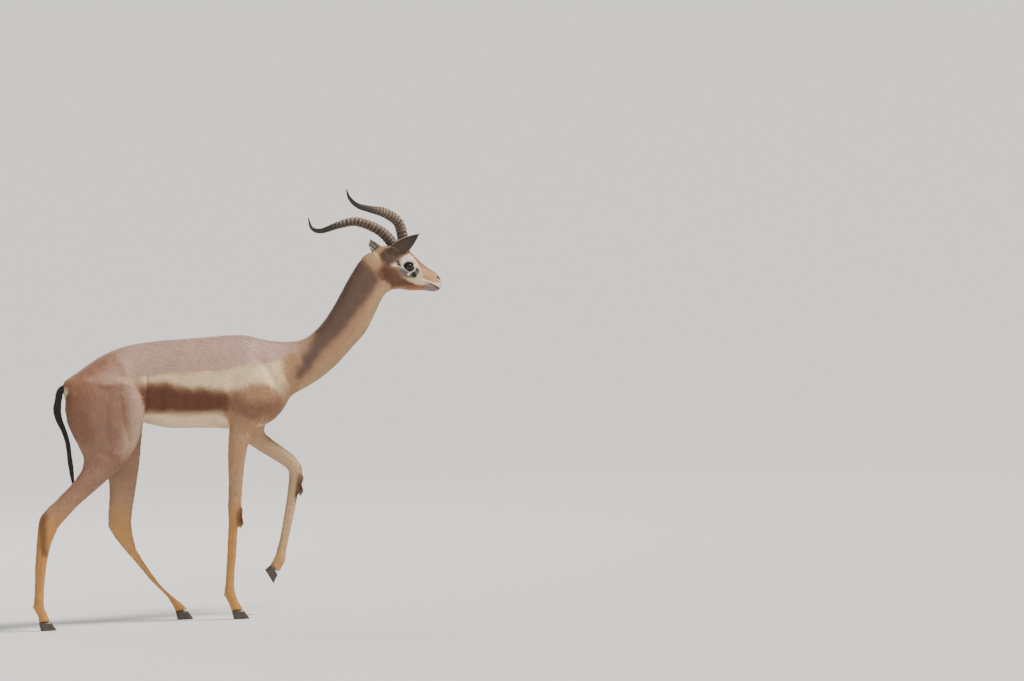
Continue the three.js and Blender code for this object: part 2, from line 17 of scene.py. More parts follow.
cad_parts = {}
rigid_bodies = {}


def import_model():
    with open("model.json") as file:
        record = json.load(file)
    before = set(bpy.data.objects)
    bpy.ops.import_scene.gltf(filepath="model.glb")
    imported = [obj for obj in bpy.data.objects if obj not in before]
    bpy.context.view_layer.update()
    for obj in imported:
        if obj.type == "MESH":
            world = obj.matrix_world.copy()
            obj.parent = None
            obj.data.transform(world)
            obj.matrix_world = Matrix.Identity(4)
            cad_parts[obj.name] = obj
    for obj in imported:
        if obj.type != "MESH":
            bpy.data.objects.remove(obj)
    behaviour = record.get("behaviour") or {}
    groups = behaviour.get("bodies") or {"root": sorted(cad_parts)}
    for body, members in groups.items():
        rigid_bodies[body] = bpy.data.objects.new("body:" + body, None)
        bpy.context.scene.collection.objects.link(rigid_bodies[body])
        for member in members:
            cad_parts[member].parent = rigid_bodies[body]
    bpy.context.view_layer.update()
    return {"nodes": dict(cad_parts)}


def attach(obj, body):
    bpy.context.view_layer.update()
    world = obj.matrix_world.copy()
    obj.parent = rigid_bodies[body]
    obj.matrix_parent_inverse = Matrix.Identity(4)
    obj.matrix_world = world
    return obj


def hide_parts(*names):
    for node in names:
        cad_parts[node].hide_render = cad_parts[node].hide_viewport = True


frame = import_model()

# %% [markdown]
# ## Where things lie
# The solids were drawn in millimetres from the middle of the belly, and the head in its own upright
# frame, which is then turned 18 degrees to the animal's left and rolled a little. The same two frames
# are used here, so that a place in the drawing is the same place in the scene. `seen` gives the side
# view's point for a spot in the photograph, which is how the markings are laid out.

# %% Frames of the drawing
ZERO = np.array([349.0, 32.6, 0.0])
YAW, ROLL = math.radians(18), math.radians(-14)
HEAD_PIVOT = np.array([905.0, 12.0, 1215.0])
TURN = np.array(Matrix.Rotation(YAW, 3, "Z") @ Matrix.Rotation(ROLL, 3, "X"))
LEFT, RIGHT = 1, -1


def place(points):
    return (np.asarray(points, float) - ZERO) / 1000


def drawing(points):
    return np.asarray(points, float) * 1000 + ZERO


def head_place(side, points):
    own = np.asarray(points, float) * (1, side, 1)
    return place(own @ TURN.T + HEAD_PIVOT)


def head_drawing(points):
    return (drawing(points) - HEAD_PIVOT) @ TURN


# What one pixel of the photograph measures in the side view, in millimetres along and across it, and the
# pixel that lies at x = 0 and z = 0.
PIXEL_ALONG, PIXEL_ACROSS = 3.5947, 0.19476
PIXEL_START = (150, 622.7)


def seen(points):
    u, v = (np.asarray(points, float) - PIXEL_START).T
    return np.stack([PIXEL_ALONG * u - PIXEL_ACROSS * v, -PIXEL_ACROSS * u - PIXEL_ALONG * v], 1)


def smooth(edge0, edge1, value):
    t = np.clip((value - edge0) / (edge1 - edge0), 0, 1)
    return t * t * (3 - 2 * t)


print("eye at", head_place(RIGHT, [89, 35, 2]).round(3))

# %% [markdown]
# ## Camera, floor and light
# The photograph was taken from far off with a long lens, a few degrees above the animal and a few
# degrees ahead of square. A long lens 30 m away gives the same flat perspective. The sun stood high
# and in front, so the key light does too, but it is broad and soft, with a wide fill from the camera.

# %% Camera
SIDEWAYS, DOWN, TILT = math.radians(4), math.radians(3), math.radians(3.1)
AWAY, FRAME_WIDTH = 30, 3.6864  # metres from the animal, and metres that the frame spans there
right = Vector((math.cos(SIDEWAYS), -math.sin(SIDEWAYS), 0))
up = Vector((math.sin(SIDEWAYS) * math.sin(DOWN), math.cos(SIDEWAYS) * math.sin(DOWN), math.cos(DOWN)))
ahead = Vector((math.sin(SIDEWAYS) * math.cos(DOWN), math.cos(SIDEWAYS) * math.cos(DOWN), -math.sin(DOWN)))
aim = 1.356 * right + 0.944 * up - Vector((0.349, 0.0326, 0))
camera_x = math.cos(TILT) * right - math.sin(TILT) * up
camera_y = math.sin(TILT) * right + math.cos(TILT) * up
camera_data = bpy.data.cameras.new("long_lens")
camera_data.sensor_width = 36
camera_data.lens = 36 * AWAY / FRAME_WIDTH
camera_data.clip_end = 3000
camera = bpy.data.objects.new("camera", camera_data)
bpy.context.scene.collection.objects.link(camera)
turn = Matrix((camera_x, camera_y, -ahead)).transposed().to_4x4()
camera.matrix_world = Matrix.Translation(aim - AWAY * ahead) @ turn
bpy.context.scene.camera = camera
print("lens", round(camera_data.lens), "mm")


# %% [markdown]
# The sun is the key light and gives the shadow. One soft light fills from the camera's side, and another
# stands behind, so that the outline parts from the ground. The floor is a wide pale disc, a stage that
# belongs to the picture and not to the animal.


# %% Floor and lights
def soft_light(name, where, size, power, colour=(1, 1, 1), target=(0.1, 0, 0.8)):
    data = bpy.data.lights.new(name, "AREA")
    data.shape = "DISK"
    data.size = size
    data.energy = power
    data.color = colour
    lamp = bpy.data.objects.new(name, data)
    bpy.context.scene.collection.objects.link(lamp)
    lamp.location = where
    lamp.rotation_euler = (Vector(where) - Vector(target)).to_track_quat("Z", "Y").to_euler()
    return lamp


soft_light("fill", (-1.5, -7.0, 1.8), 4.0, 85, (1.0, 0.95, 0.90))
soft_light("rim", (-2.5, 4.5, 4.0), 2.5, 110)
key_data = bpy.data.lights.new("key", "SUN")
key_data.energy = 4.3
key_data.angle = math.radians(13)
key_data.color = (1.0, 0.965, 0.91)
key = bpy.data.objects.new("key", key_data)
bpy.context.scene.collection.objects.link(key)
key.rotation_euler = Vector((3.5, -1.45, 5.3)).to_track_quat("Z", "Y").to_euler()
world = bpy.data.worlds.new("studio")
bpy.context.scene.world = world
world.use_nodes = True
world.node_tree.nodes["Background"].inputs["Color"].default_value = (0.86, 0.88, 0.9, 1)
world.node_tree.nodes["Background"].inputs["Strength"].default_value = 0.46

disc = bmesh.new()
bmesh.ops.create_circle(disc, cap_ends=True, segments=96, radius=400)
floor_mesh = bpy.data.meshes.new("floor")
disc.to_mesh(floor_mesh)
disc.free()
floor = bpy.data.objects.new("floor", floor_mesh)
bpy.context.scene.collection.objects.link(floor)
floor.location.z = -0.0005

# %% [markdown]
# ## Mesh helpers
# Most of this animal is made from arrays: points and faces go in, a named piece comes out. Three
# more helpers do the sculptor's work: `relax` evens a surface out, `along` measures how far points lie
# from a line, and `rod` sweeps an oval along a curve, for the lids, the tail and the roots of the ears.


# %% Pieces from points and faces
def new_piece(name, points, faces, shade=True):
    mesh = bpy.data.meshes.new(name)
    mesh.from_pydata([tuple(p) for p in points], [], [tuple(f) for f in faces])
    mesh.update()
    piece = bpy.data.objects.new(name, mesh)
    bpy.context.scene.collection.objects.link(piece)
    if shade:
        mesh.shade_smooth()
    return piece


def points_of(mesh):
    values = np.empty(len(mesh.vertices) * 3, np.float32)
    mesh.vertices.foreach_get("co", values)
    return values.reshape(-1, 3).astype(float)


def normals_of(mesh):
    values = np.empty(len(mesh.vertices) * 3, np.float32)
    mesh.vertex_normals.foreach_get("vector", values)
    return values.reshape(-1, 3).astype(float)


def set_points(mesh, points):
    mesh.vertices.foreach_set("co", np.asarray(points, np.float32).ravel())
    mesh.update()


def pairs_of(mesh):
    values = np.empty(len(mesh.edges) * 2, np.int32)
    mesh.edges.foreach_get("vertices", values)
    return values.reshape(-1, 2)


def mask(mesh, name, values):
    layer = mesh.attributes.get(name) or mesh.attributes.new(name, "FLOAT", "POINT")
    layer.data.foreach_set("value", np.asarray(values, np.float32))


def neighbour_mean(values, pairs):
    count = len(values)
    total = np.empty_like(values)
    near = np.bincount(pairs.ravel(), minlength=count).clip(1)
    for k in range(values.shape[1]):
        total[:, k] = np.bincount(pairs[:, 0], values[pairs[:, 1], k], count)
        total[:, k] += np.bincount(pairs[:, 1], values[pairs[:, 0], k], count)
    return total / near[:, None]


def relax(points, pairs, rounds, weight=0.5):
    weight = np.broadcast_to(np.asarray(weight, float), (len(points),))[:, None]
    for _ in range(rounds):
        points = points + weight * (neighbour_mean(points, pairs) - points)
    return points


def along(points, line):
    """How far each point lies from a line of straight pieces, and how far along the line, 0 to 1."""
    line = np.asarray(line, float)
    best = np.full(len(points), 1e9)
    where = np.zeros(len(points))
    spans = len(line) - 1
    for i in range(spans):
        a, b = line[i], line[i + 1]
        t = np.clip((points - a) @ (b - a) / max((b - a) @ (b - a), 1e-9), 0, 1)
        gap = np.linalg.norm(points - a - t[:, None] * (b - a), axis=1)
        closer = gap < best
        best[closer] = gap[closer]
        where[closer] = (i + t[closer]) / spans
    return best, where


def inside(points, outline):
    """Signed distance from a closed outline, positive inside."""
    outline = np.asarray(outline, float)
    gap, _ = along(points, np.vstack([outline, outline[:1]]))
    x, z = points.T
    odd = np.zeros(len(points), bool)
    for a, b in zip(outline, np.roll(outline, -1, 0)):
        crosses = (a[1] > z) != (b[1] > z)
        odd ^= crosses & (x < (b[0] - a[0]) * (z - a[1]) / (b[1] - a[1] + 1e-12) + a[0])
    return np.where(odd, gap, -gap)


# %% [markdown]
# A smooth curve runs through a few given points, and gives as many even steps as a piece needs. A
# frame of two directions is carried along it without twisting, and rings are laid in that frame.


# %% Curves and swept rods
def curve(points, count):
    """Evenly spaced points and tangents of a smooth curve through the given points."""
    p = np.asarray(points, float)
    p = np.vstack([2 * p[0] - p[1], p, 2 * p[-1] - p[-2]])
    dense = []
    for i in range(1, len(p) - 2):
        t = np.linspace(0, 1, 40, endpoint=i == len(p) - 3)[:, None]
        a, b, c, d = p[i - 1 : i + 3]
        bend = (2 * a - 5 * b + 4 * c - d) * t**2 + (3 * b - a - 3 * c + d) * t**3
        dense.append(0.5 * (2 * b + (c - a) * t + bend))
    dense = np.vstack(dense)
    run = np.r_[0, np.cumsum(np.linalg.norm(np.diff(dense[:, :3], axis=0), axis=1))]
    even = np.linspace(0, run[-1], count)
    made = np.stack([np.interp(even, run, dense[:, k]) for k in range(dense.shape[1])], 1)
    tangent = np.gradient(made[:, :3], axis=0)
    return made, tangent / np.linalg.norm(tangent, axis=1)[:, None], run[-1]


def frames_along(tangent, start=(0, 1, 0)):
    normal = np.empty_like(tangent)
    last = np.asarray(start, float)
    for i, t in enumerate(tangent):
        last = last - (last @ t) * t
        last = last / np.linalg.norm(last)
        normal[i] = last
    return normal, np.cross(tangent, normal)


def tube_faces(rings, sides, caps=True):
    faces = []
    for i in range(rings - 1):
        for j in range(sides):
            k = (j + 1) % sides
            faces.append((i * sides + j, i * sides + k, (i + 1) * sides + k, (i + 1) * sides + j))
    if caps:
        faces.append(tuple(range(sides))[::-1])
        faces.append(tuple((rings - 1) * sides + j for j in range(sides)))
    return faces


def rod(points, wide, thick, sides, start=(0, 1, 0)):
    """Rings of an oval swept along points, with half widths for each ring."""
    tangent = np.gradient(points, axis=0)
    tangent /= np.linalg.norm(tangent, axis=1)[:, None]
    normal, across = frames_along(tangent, start)
    angle = np.linspace(0, 2 * np.pi, sides, endpoint=False)
    ring = points[:, None] + normal[:, None] * (wide[:, None, None] * np.cos(angle)[None, :, None])
    return (ring + across[:, None] * (thick[:, None, None] * np.sin(angle)[None, :, None])).reshape(-1, 3)


print("helpers ready")

# %% [markdown]
# ## One skin over all the flesh
# The solids meet with hair-thin gaps, which a living skin doesn't have. Their copies are swollen
# by half a millimetre so that they overlap, and a voxel remesh turns them into one closed surface with
# an even grid of small faces, the usual base for sculpting. The coat's own depth is then taken off.

# %% Gather the flesh
HARD = ("horn", "eye", "ear_", "tail")
FLESH = [n for n in frame["nodes"] if "hoof" not in n and not n.startswith(HARD)]


def welded(name):
    mesh = frame["nodes"][name].data
    mesh.calc_loop_triangles()
    points, back = np.unique(points_of(mesh).round(6), axis=0, return_inverse=True)
    tri = np.array([t.vertices[:] for t in mesh.loop_triangles])
    tri = back.reshape(-1)[tri]
    good = (tri[:, 0] != tri[:, 1]) & (tri[:, 1] != tri[:, 2]) & (tri[:, 0] != tri[:, 2])
    return points, tri[good]


def swell(points, tri, amount):
    face = np.cross(points[tri[:, 1]] - points[tri[:, 0]], points[tri[:, 2]] - points[tri[:, 0]])
    normal = np.zeros_like(points)
    for k in range(3):
        np.add.at(normal, tri[:, k], face)
    return points + amount * normal / np.linalg.norm(normal, axis=1).clip(1e-12)[:, None]


def fan(face):
    return [(face[0], face[k], face[k + 1]) for k in range(1, len(face) - 1)]


def ear_root(side):
    """The fleshy foot of an ear: a short rod, wide across the ear and flat, that ends inside the leaf."""
    base, end = head_place(side, EAR_ROOT_BASE), head_place(side, EAR_TIPS[side])
    axis = (end - base) / np.linalg.norm(end - base)
    across = np.cross(axis, head_place(side, [0, 1, 0]) - head_place(side, [0, 0, 0]))
    back = np.cross(across / np.linalg.norm(across), axis)
    rows = np.array(EAR_ROOT)
    middle = base + axis * rows[:, :1] / 1000 - back * (rows[:, 2:] - 2.0) / 1000
    path, _, _ = curve(np.hstack([middle, rows[:, 1:] / 1000]), 16)
    points = rod(path[:, :3], path[:, 3], path[:, 4], 24, across)
    return points, np.array([tri for face in tube_faces(16, 24) for tri in fan(face)])


# A row of the root is its place along the ear, its half width and its half thickness, in millimetres.
EAR_ROOT = [(-34, 25, 15), (-12, 27, 17), (6, 26, 15), (24, 23, 10.5), (40, 18, 6.5), (50, 9, 3)]
EAR_ROOT_BASE = (12, 36, 44)
EAR_TIPS = {RIGHT: (124, 97, 108), LEFT: (29, 142, 148)}
OVERLAP, GRID = 0.0005, 0.0047  # metres: how far the solids are swollen, and the faces of the new skin

pieces = [(name, *welded(name)) for name in FLESH]
pieces = [(name, swell(points, tri, OVERLAP), tri) for name, points, tri in pieces]
pieces += [("head", *ear_root(side)) for side in (RIGHT, LEFT)]
all_points, all_faces, owners, start = [], [], [], 0
for name, points, tri in pieces:
    all_points.append(points)
    all_faces.append(tri + start)
    owners += [name] * len(tri)
    start += len(points)
flesh_points, flesh_faces = np.vstack(all_points), np.vstack(all_faces)
flesh_tree = BVHTree.FromPolygons(flesh_points.tolist(), flesh_faces.tolist())
skin = new_piece("skin", flesh_points, flesh_faces, shade=False)
remesh = skin.modifiers.new("one_skin", "REMESH")
remesh.mode = "VOXEL"
remesh.voxel_size = GRID
whole = bpy.data.meshes.new_from_object(skin.evaluated_get(bpy.context.evaluated_depsgraph_get()))
skin.modifiers.clear()
skin.data = whole
print("one skin:", len(whole.polygons), "faces from", len(FLESH), "solids")

# %% [markdown]
# Which part of the body a point belongs to decides how much the skin is evened out there, which way
# its hair lies, and where it lands on the unwrap. The nearest solid answers it.


# %% Body parts
def parts_of(points):
    found = []
    for p in points:
        _, _, face, _ = flesh_tree.find_nearest(Vector(p))
        found.append(owners[face])
    return np.array(found)


AXES = {}
for name in FLESH:
    points, _ = welded(name)
    middle = points.mean(0)
    main = np.linalg.svd(points - middle, full_matrices=False)[2][0]
    if name == "torso":
        main = np.array([-1.0, 0, -0.05])
    elif name == "head":
        main = head_place(RIGHT, [-60, 0, -25]) - head_place(RIGHT, [222, 0, -60])
    elif main[2] > 0:
        main = -main
    main = main / np.linalg.norm(main)
    length = np.ptp((points - middle) @ main)
    AXES[name] = (middle, main, length)
print("gaskin runs", AXES["hind_right_gaskin"][1].round(2), "neck", AXES["neck"][1].round(2))

# %% [markdown]
# ## Evening the surface
# Plain averaging shrinks thin limbs. So the fine part of the difference is dropped and the broad part
# is put back, which keeps each limb's true width. The trunk and thighs are evened most, the head and
# the shins least.

# %% Even out, keep the volume
# How strongly each part is evened, from 0 to 1; a part that isn't named takes the last value.
FIRM = {"torso": 1.0, "neck": 1.0, "thigh": 1.0, "shoulder": 0.9, "gaskin": 0.5, "forearm": 0.4, "head": 0.10}
FIRM_ELSEWHERE, ROUNDS = 0.16, 46


def even_out(mesh, rounds, weight):
    rough, pairs = points_of(mesh), pairs_of(mesh)
    calm = relax(rough, pairs, rounds, weight * 0.6)
    lost = relax(rough - calm, pairs, rounds, 0.6)
    set_points(mesh, calm + lost)


part = parts_of(points_of(skin.data))
firmness = np.array([next((v for k, v in FIRM.items() if k in p), FIRM_ELSEWHERE) for p in part])
firmness = relax(firmness[:, None], pairs_of(skin.data), 12, 0.5)[:, 0]
even_out(skin.data, ROUNDS, firmness)
# The coat lies on top, so the skin goes in by its depth: less on the face, where the hair is shortest.
inset = np.where(part == "head", 0.0004, 0.0012)[:, None]
set_points(skin.data, points_of(skin.data) - inset * normals_of(skin.data))
print("evened", len(part), "points")

# %% [markdown]
# ## Muscles, bones and tendons
# With an even skin, strokes push it in or out as a thumb would in clay: a stroke is a line in the
# side view, a radius, and a height. They follow what shows on the living animal: the edge of the shoulder
# blade, the last rib and the hollow flank, the hip bone, the seam between thigh and belly, the long
# muscles of the thigh, the groove of the windpipe, and the tendons of the lower legs.


# %% Strokes
def stroke(mesh, side, line, radius, height, only, labels):
    """Pushes the skin along a line of the side view, on one side and on the named parts only."""
    points, normals = points_of(mesh), normals_of(mesh)
    gap, share = along(drawing(points)[:, [0, 2]], line)
    facing = smooth(0.0, 0.5, side * normals[:, 1])
    taper = smooth(0, 0.15, share) * smooth(1, 0.85, share) * 0.7 + 0.3
    push = height / 1000 * np.exp(-((gap / radius) ** 2)) * facing * taper
    set_points(mesh, points + (push * np.isin(labels, only))[:, None] * normals)


def side_parts(side, *names):
    word = "right" if side == RIGHT else "left"
    return [n for n in FLESH if n in names or any(n.endswith(word + "_" + k) for k in names)]


TRUNK_STROKES = [
    ([(262, 352), (276, 372), (290, 392), (297, 408)], 22, 4.0),
    ([(248, 345), (246, 362), (240, 380), (236, 398)], 20, 2.6),
    ([(250, 372), (262, 392), (266, 410)], 30, 3.5),
    ([(282, 372), (290, 386)], 13, -2.5),
    ([(236, 404), (246, 416), (258, 420)], 15, -3.5),
    ([(160, 402), (180, 408), (205, 409), (228, 405)], 20, 2.5),
    ([(152, 388), (160, 398), (158, 408)], 26, -4.5),
    ([(147, 372), (147, 392), (146, 414)], 8, -3.0),
    ([(140, 372), (140, 392), (138, 418), (130, 445)], 16, 3.2),
    ([(114, 356), (122, 362), (126, 374)], 18, 4.0),
    ([(92, 352), (104, 358), (112, 366)], 20, 2.0),
    ([(120, 390), (121, 408), (125, 424), (128, 438), (127, 450), (122, 462)], 13, -6.0),
    ([(112, 398), (112, 420), (114, 438)], 16, 3.0),
    ([(132, 376), (134, 400), (136, 424)], 20, 2.6),
    ([(98, 382), (106, 383), (115, 382)], 7, 2.4),
    ([(114, 420), (122, 432), (125, 446)], 14, 3.0),
    ([(94, 449), (106, 452), (120, 458)], 12, -2.5),
    ([(84, 372), (96, 378), (108, 392)], 16, -1.8),
    ([(96, 384), (90, 410), (90, 436), (98, 455)], 20, 2.6),
    ([(108, 396), (106, 420), (108, 446)], 12, -2.2),
    ([(72, 378), (70, 400), (74, 424)], 14, 2.0),
    ([(112, 448), (120, 458), (127, 470)], 16, 3.2),
    ([(176, 372), (200, 371), (226, 370)], 14, 0.8),
]
for side in (LEFT, RIGHT):
    keep = side_parts(side, "torso", "thigh", "shoulder", "gaskin", "neck")
    for line, radius, height in TRUNK_STROKES:
        stroke(skin.data, side, seen(line), radius, height, keep, part)
    for rib in range(6):
        front = 226 - 11 * rib
        line = [(front, 378), (front - 5, 392), (front - 4, 404)]
        stroke(skin.data, side, seen(line), 6.5, 0.8, ["torso"], part)
NECK_STROKES = [
    ([(391, 300), (372, 330), (345, 362), (318, 390)], 13, -4.5),
    ([(384, 285), (362, 318), (335, 350), (306, 382)], 18, 3.6),
    ([(398, 252), (378, 282), (352, 316), (322, 346)], 14, -3.2),
    ([(398, 282), (394, 292), (388, 300)], 12, 2.5),
    ([(296, 345), (306, 366), (303, 392)], 18, -3.0),
]
for side in (LEFT, RIGHT):
    for line, radius, height in NECK_STROKES:
        stroke(skin.data, side, seen(line), radius, height, ["neck", "torso"], part)
print("strokes done")

# %% [markdown]
# ## Finer grid where it is looked at
# The head and the lower legs carry small forms, so their faces are split in four, and those of the face
# in four again. After each split the new points are evened out, as a subdivision surface would do.


# %% Split faces
def refine(mesh, chosen, rounds=3):
    body = bmesh.new()
    body.from_mesh(mesh)
    body.verts.ensure_lookup_table()
    edges = [e for e in body.edges if chosen[e.verts[0].index] and chosen[e.verts[1].index]]
    bmesh.ops.subdivide_edges(body, edges=edges, cuts=1, use_grid_fill=True)
    body.to_mesh(mesh)
    body.free()
    mesh.update()
    count = len(chosen)
    new = np.ones(len(mesh.vertices))
    new[:count] = np.where(chosen, 0.75, 0.0)
    rough, pairs = points_of(mesh), pairs_of(mesh)
    calm = relax(rough, pairs, rounds, new * 0.5)
    set_points(mesh, calm + relax(rough - calm, pairs, rounds, 0.5))


LOWER = ("cannon", "pastern")
refine(skin.data, np.array([p == "head" or p.endswith(LOWER) for p in part]))
own = head_drawing(points_of(skin.data))
FACE = (own[:, 0] > -6) & (np.abs(own[:, 1]) < 75) & (own[:, 2] < 112) & (own[:, 2] > -110)
refine(skin.data, FACE)
print("skin now has", len(skin.data.polygons), "faces")

# %% [markdown]
# ## The face
# The eye sits in a bony socket under a strong brow, wrapped by thick dark lids. In front of it lies the
# slit of the scent gland; the lips are long and narrow, and the nostril is a slanted slot. All are strokes
# in the head's own frame, made on both sides at once.


# %% Sculpt the face
def face_stroke(line, radius, height):
    """Pushes the skin along a line in the head's frame, on both sides at once."""
    points, normals = points_of(skin.data), normals_of(skin.data)
    local = head_drawing(points)
    local[:, 1] = np.abs(local[:, 1])
    gap, share = along(local, np.asarray(line, float))
    taper = smooth(0, 0.12, share) * smooth(1, 0.88, share) * 0.6 + 0.4
    push = height / 1000 * np.exp(-((gap / radius) ** 2)) * taper
    set_points(skin.data, points + push[:, None] * normals)


EYE = np.array([89.0, 35.0, 2.0])
EYE_RADIUS = 18
for line, radius, height in [
    ([[66, 46, 16], [84, 49, 25], [104, 44, 22], [120, 34, 10]], 9, 2.2),
    ([[70, 44, 34], [92, 38, 44], [112, 28, 30]], 11, 1.0),
    ([[70, 46, -22], [90, 46, -24], [112, 40, -18], [130, 34, -22]], 8, 1.6),
    ([[122, 32, -9], [128, 31, -15]], 4.5, -3.2),
    ([[116, 36, -5], [104, 41, -16]], 5, -1.6),
    ([[40, 48, -20], [30, 46, -40], [20, 42, -54]], 16, 2.6),
    ([[58, 47, -50], [84, 42, -62], [112, 36, -66]], 10, 1.4),
    ([[134, 32, -22], [160, 26, -34], [186, 20, -40]], 9, 1.2),
    ([[130, 33, -38], [150, 29, -42], [170, 24, -46]], 8, -1.8),
    ([[100, 14, 68], [134, 12, 38], [166, 10, 14]], 12, 1.2),
    ([[118, 28, 26], [142, 24, 6], [164, 20, -8]], 8, -1.6),
    ([[52, 44, 2], [46, 45, 12]], 9, -1.6),
]:
    face_stroke(line, radius, height)
print("brow, cheek, gland")


# %% [markdown]
# The skin has to close round the eyeball with no gap. Inside an almond it goes in behind the ball, and
# outside it lies on the ball's own curve, raised to a lid along the edge.


# %% Eye sockets
def socket(side):
    """Presses the skin in behind the eyeball within the almond, and rounds it over the ball outside."""
    points = points_of(skin.data)
    centre = head_place(side, EYE)
    out = head_place(side, EYE + (0.12, 1, 0.05)) - centre
    out /= np.linalg.norm(out)
    front = head_place(side, EYE + (1, 0, 0)) - centre
    front -= (front @ out) * out
    front /= np.linalg.norm(front)
    rise = np.cross(front, out) * side
    local = (points - centre) * 1000
    x, y, d = local @ front, local @ rise, local @ out
    y = y - 0.10 * x
    almond = np.hypot(x / 17.2, (y + 0.6) / np.where(y > -1, 13.4, 12.6))
    near = (d > -16) & (almond < 2.4)
    ball = np.sqrt(np.clip(EYE_RADIUS**2 - x**2 - y**2, 0, None))
    lid = ball + 2.4 * np.exp(-(((almond - 1.12) / 0.2) ** 2)) + 0.6
    deep = ball - 5.0
    cut = smooth(1.02, 0.9, almond)
    target = lid * (1 - cut) + deep * cut
    blend = smooth(1.75, 1.15, almond) * near
    target = np.where(almond > 1.1, np.maximum(target, d * 0.8 + target * 0.2), target)
    moved = d + (target - d) * blend
    shift = ((moved - d) / 1000)[:, None] * out
    set_points(skin.data, points + shift)
    return centre, out, front, rise


SOCKETS = {side: socket(side) for side in (LEFT, RIGHT)}
print("sockets at", {s: v[0].round(3).tolist() for s, v in SOCKETS.items()})

# %% [markdown]
# What is left of the face is finer than the strokes above: the slot of the nostril with its raised edge,
# and the long thin line of the mouth between two soft lips.

# %% Nostrils and mouth
MOUTH = [[138, 38, -52], [150, 33, -55], [166, 30, -60], [184, 26, -69]]
MOUTH += [[202, 22, -79], [216, 12, -86], [221, 0, -88]]
for line, radius, height in [
    ([[219, 10, -51], [214, 15, -43], [207, 19, -39], [201, 20, -38]], 3.4, -6.0),
    ([[218, 13, -42], [211, 19, -35], [201, 21, -33]], 3.4, 2.0),
    ([[217, 9, -57], [209, 18, -49], [200, 21, -46]], 3.4, 1.2),
    (MOUTH, 1.9, -4.5),
    ([[150, 33, -51], [170, 29, -55], [190, 25, -64], [208, 19, -74], [219, 8, -80]], 4.0, 1.3),
    ([[160, 30, -65], [182, 26, -75], [202, 19, -85], [214, 8, -92]], 3.6, 1.2),
    ([[222, 0, -48], [223, 0, -66]], 2.0, -1.0),
]:
    face_stroke(line, radius, height)
print("mouth line", len(skin.data.vertices), "points in the skin")

# %% [markdown]
# ## Legs
# Below the hock and the knee there is no muscle, only bone, tendon and skin. A groove runs between the
# cannon bone and the tendons behind it. The long axis of each lower leg is taken from its solid, so the
# grooves follow the walking pose. They are faint, since hair covers them.

# %% Tendons and joints
skin_part = parts_of(points_of(skin.data))
for name in FLESH:
    if not name.endswith(("cannon", "forearm", "gaskin")):
        continue
    middle, main, length = AXES[name]
    points, normals = points_of(skin.data), normals_of(skin.data)
    mine = skin_part == name
    rel = points - middle
    t = (rel @ main) / length + 0.5
    ahead_of = np.cross(np.array([0, 1.0, 0]), main)
    ahead_of *= np.sign(ahead_of[0])
    fore_aft = (rel @ ahead_of) * 1000
    slots = np.clip((t * 40).astype(int), 0, 39)
    rows = [fore_aft[mine & (slots == k)] for k in range(40)]
    centre = np.array([np.median(row) if len(row) else 0 for row in rows])
    fore_aft = fore_aft - centre[slots]
    ends = smooth(0.05, 0.2, t) * smooth(0.97, 0.82, t)
    sideways = np.abs(normals[:, 1])
    depth = 1.5 if name.endswith("cannon") else 1.0
    groove = -depth * np.exp(-(((fore_aft + 3.5) / 3.0) ** 2)) * smooth(0.3, 0.8, sideways) * ends
    push = np.where(mine, groove, 0) / 1000
    set_points(skin.data, points + push[:, None] * normals)
print("legs grooved")

# %% [markdown]
# ## Markings
# Skin and coat must show the same markings, so each marking is a mask: a number from 0 to 1 worked out
# from a point's place on the body by named lines. Each tuft later takes the values of the skin at its
# root. Left and right match, since a left point is first laid over the right side; only the dark hair
# of the knees and hocks has its own place on each side.

# %% Lines of the markings
# Heights of three edges along the side: under the saddle, under the pale band, and over the white belly.
BAND_TOP = [(60, 372), (92, 380), (118, 376), (145, 375.6), (167, 373.6), (196, 372)]
BAND_TOP += [(222, 371), (232, 368.5), (241, 365), (262, 364), (281, 361), (296, 352)]
BAND_LOW = [(60, 376), (118, 381), (145, 381.5), (172, 382.6), (186, 385), (200, 387.5)]
BAND_LOW += [(222, 389), (236, 388), (250, 384), (262, 379), (276, 386), (292, 402)]
BELLY_TOP = [(60, 470), (118, 425), (145, 413.6), (167, 413.6), (186, 415.6), (208, 415), (222, 413.5)]
BELLY_TOP += [(230, 419), (250, 427), (258, 424), (270, 422), (280, 419), (286, 430), (291, 440)]
THROAT = [(285, 404), (306, 394), (340, 364), (362, 336), (380, 300), (392, 280), (410, 260)]
NAPE_SHADE = [(356, 248), (386, 262), (382, 278), (369, 300), (346, 328), (320, 357)]
NAPE_SHADE += [(298, 384), (293, 380), (306, 356), (316, 334), (312, 318), (330, 280)]


def across_at(u, v):
    """How far forward a spot of the photograph lies in the side view."""
    return seen([(u, v)])[0, 0]


def height_at(x, line):
    """How high a line of the photograph runs over the places x."""
    line_x, line_z = seen(line).T
    return np.interp(x, line_x, line_z)


def side_view(points):
    """Points in millimetres, the same seen from the side, and a wavering number for uneven edges."""
    flat = drawing(points)
    depth = np.abs(flat[:, 1])
    mirrored = np.stack([flat[:, 0] + depth * math.tan(SIDEWAYS), flat[:, 2] - depth * math.tan(DOWN)], 1)
    x, z = mirrored.T
    return flat, mirrored, 3.0 * np.sin(x / 23.0) + 2.0 * np.sin(x / 9.0 + z / 14.0)


def has_word(labels, *words):
    """Whether each label holds one of the words."""
    return np.array([any(word in label for word in words) for label in labels])


print("saddle's edge in the middle:", round(height_at(across_at(181, 372), BAND_TOP)), "mm high")
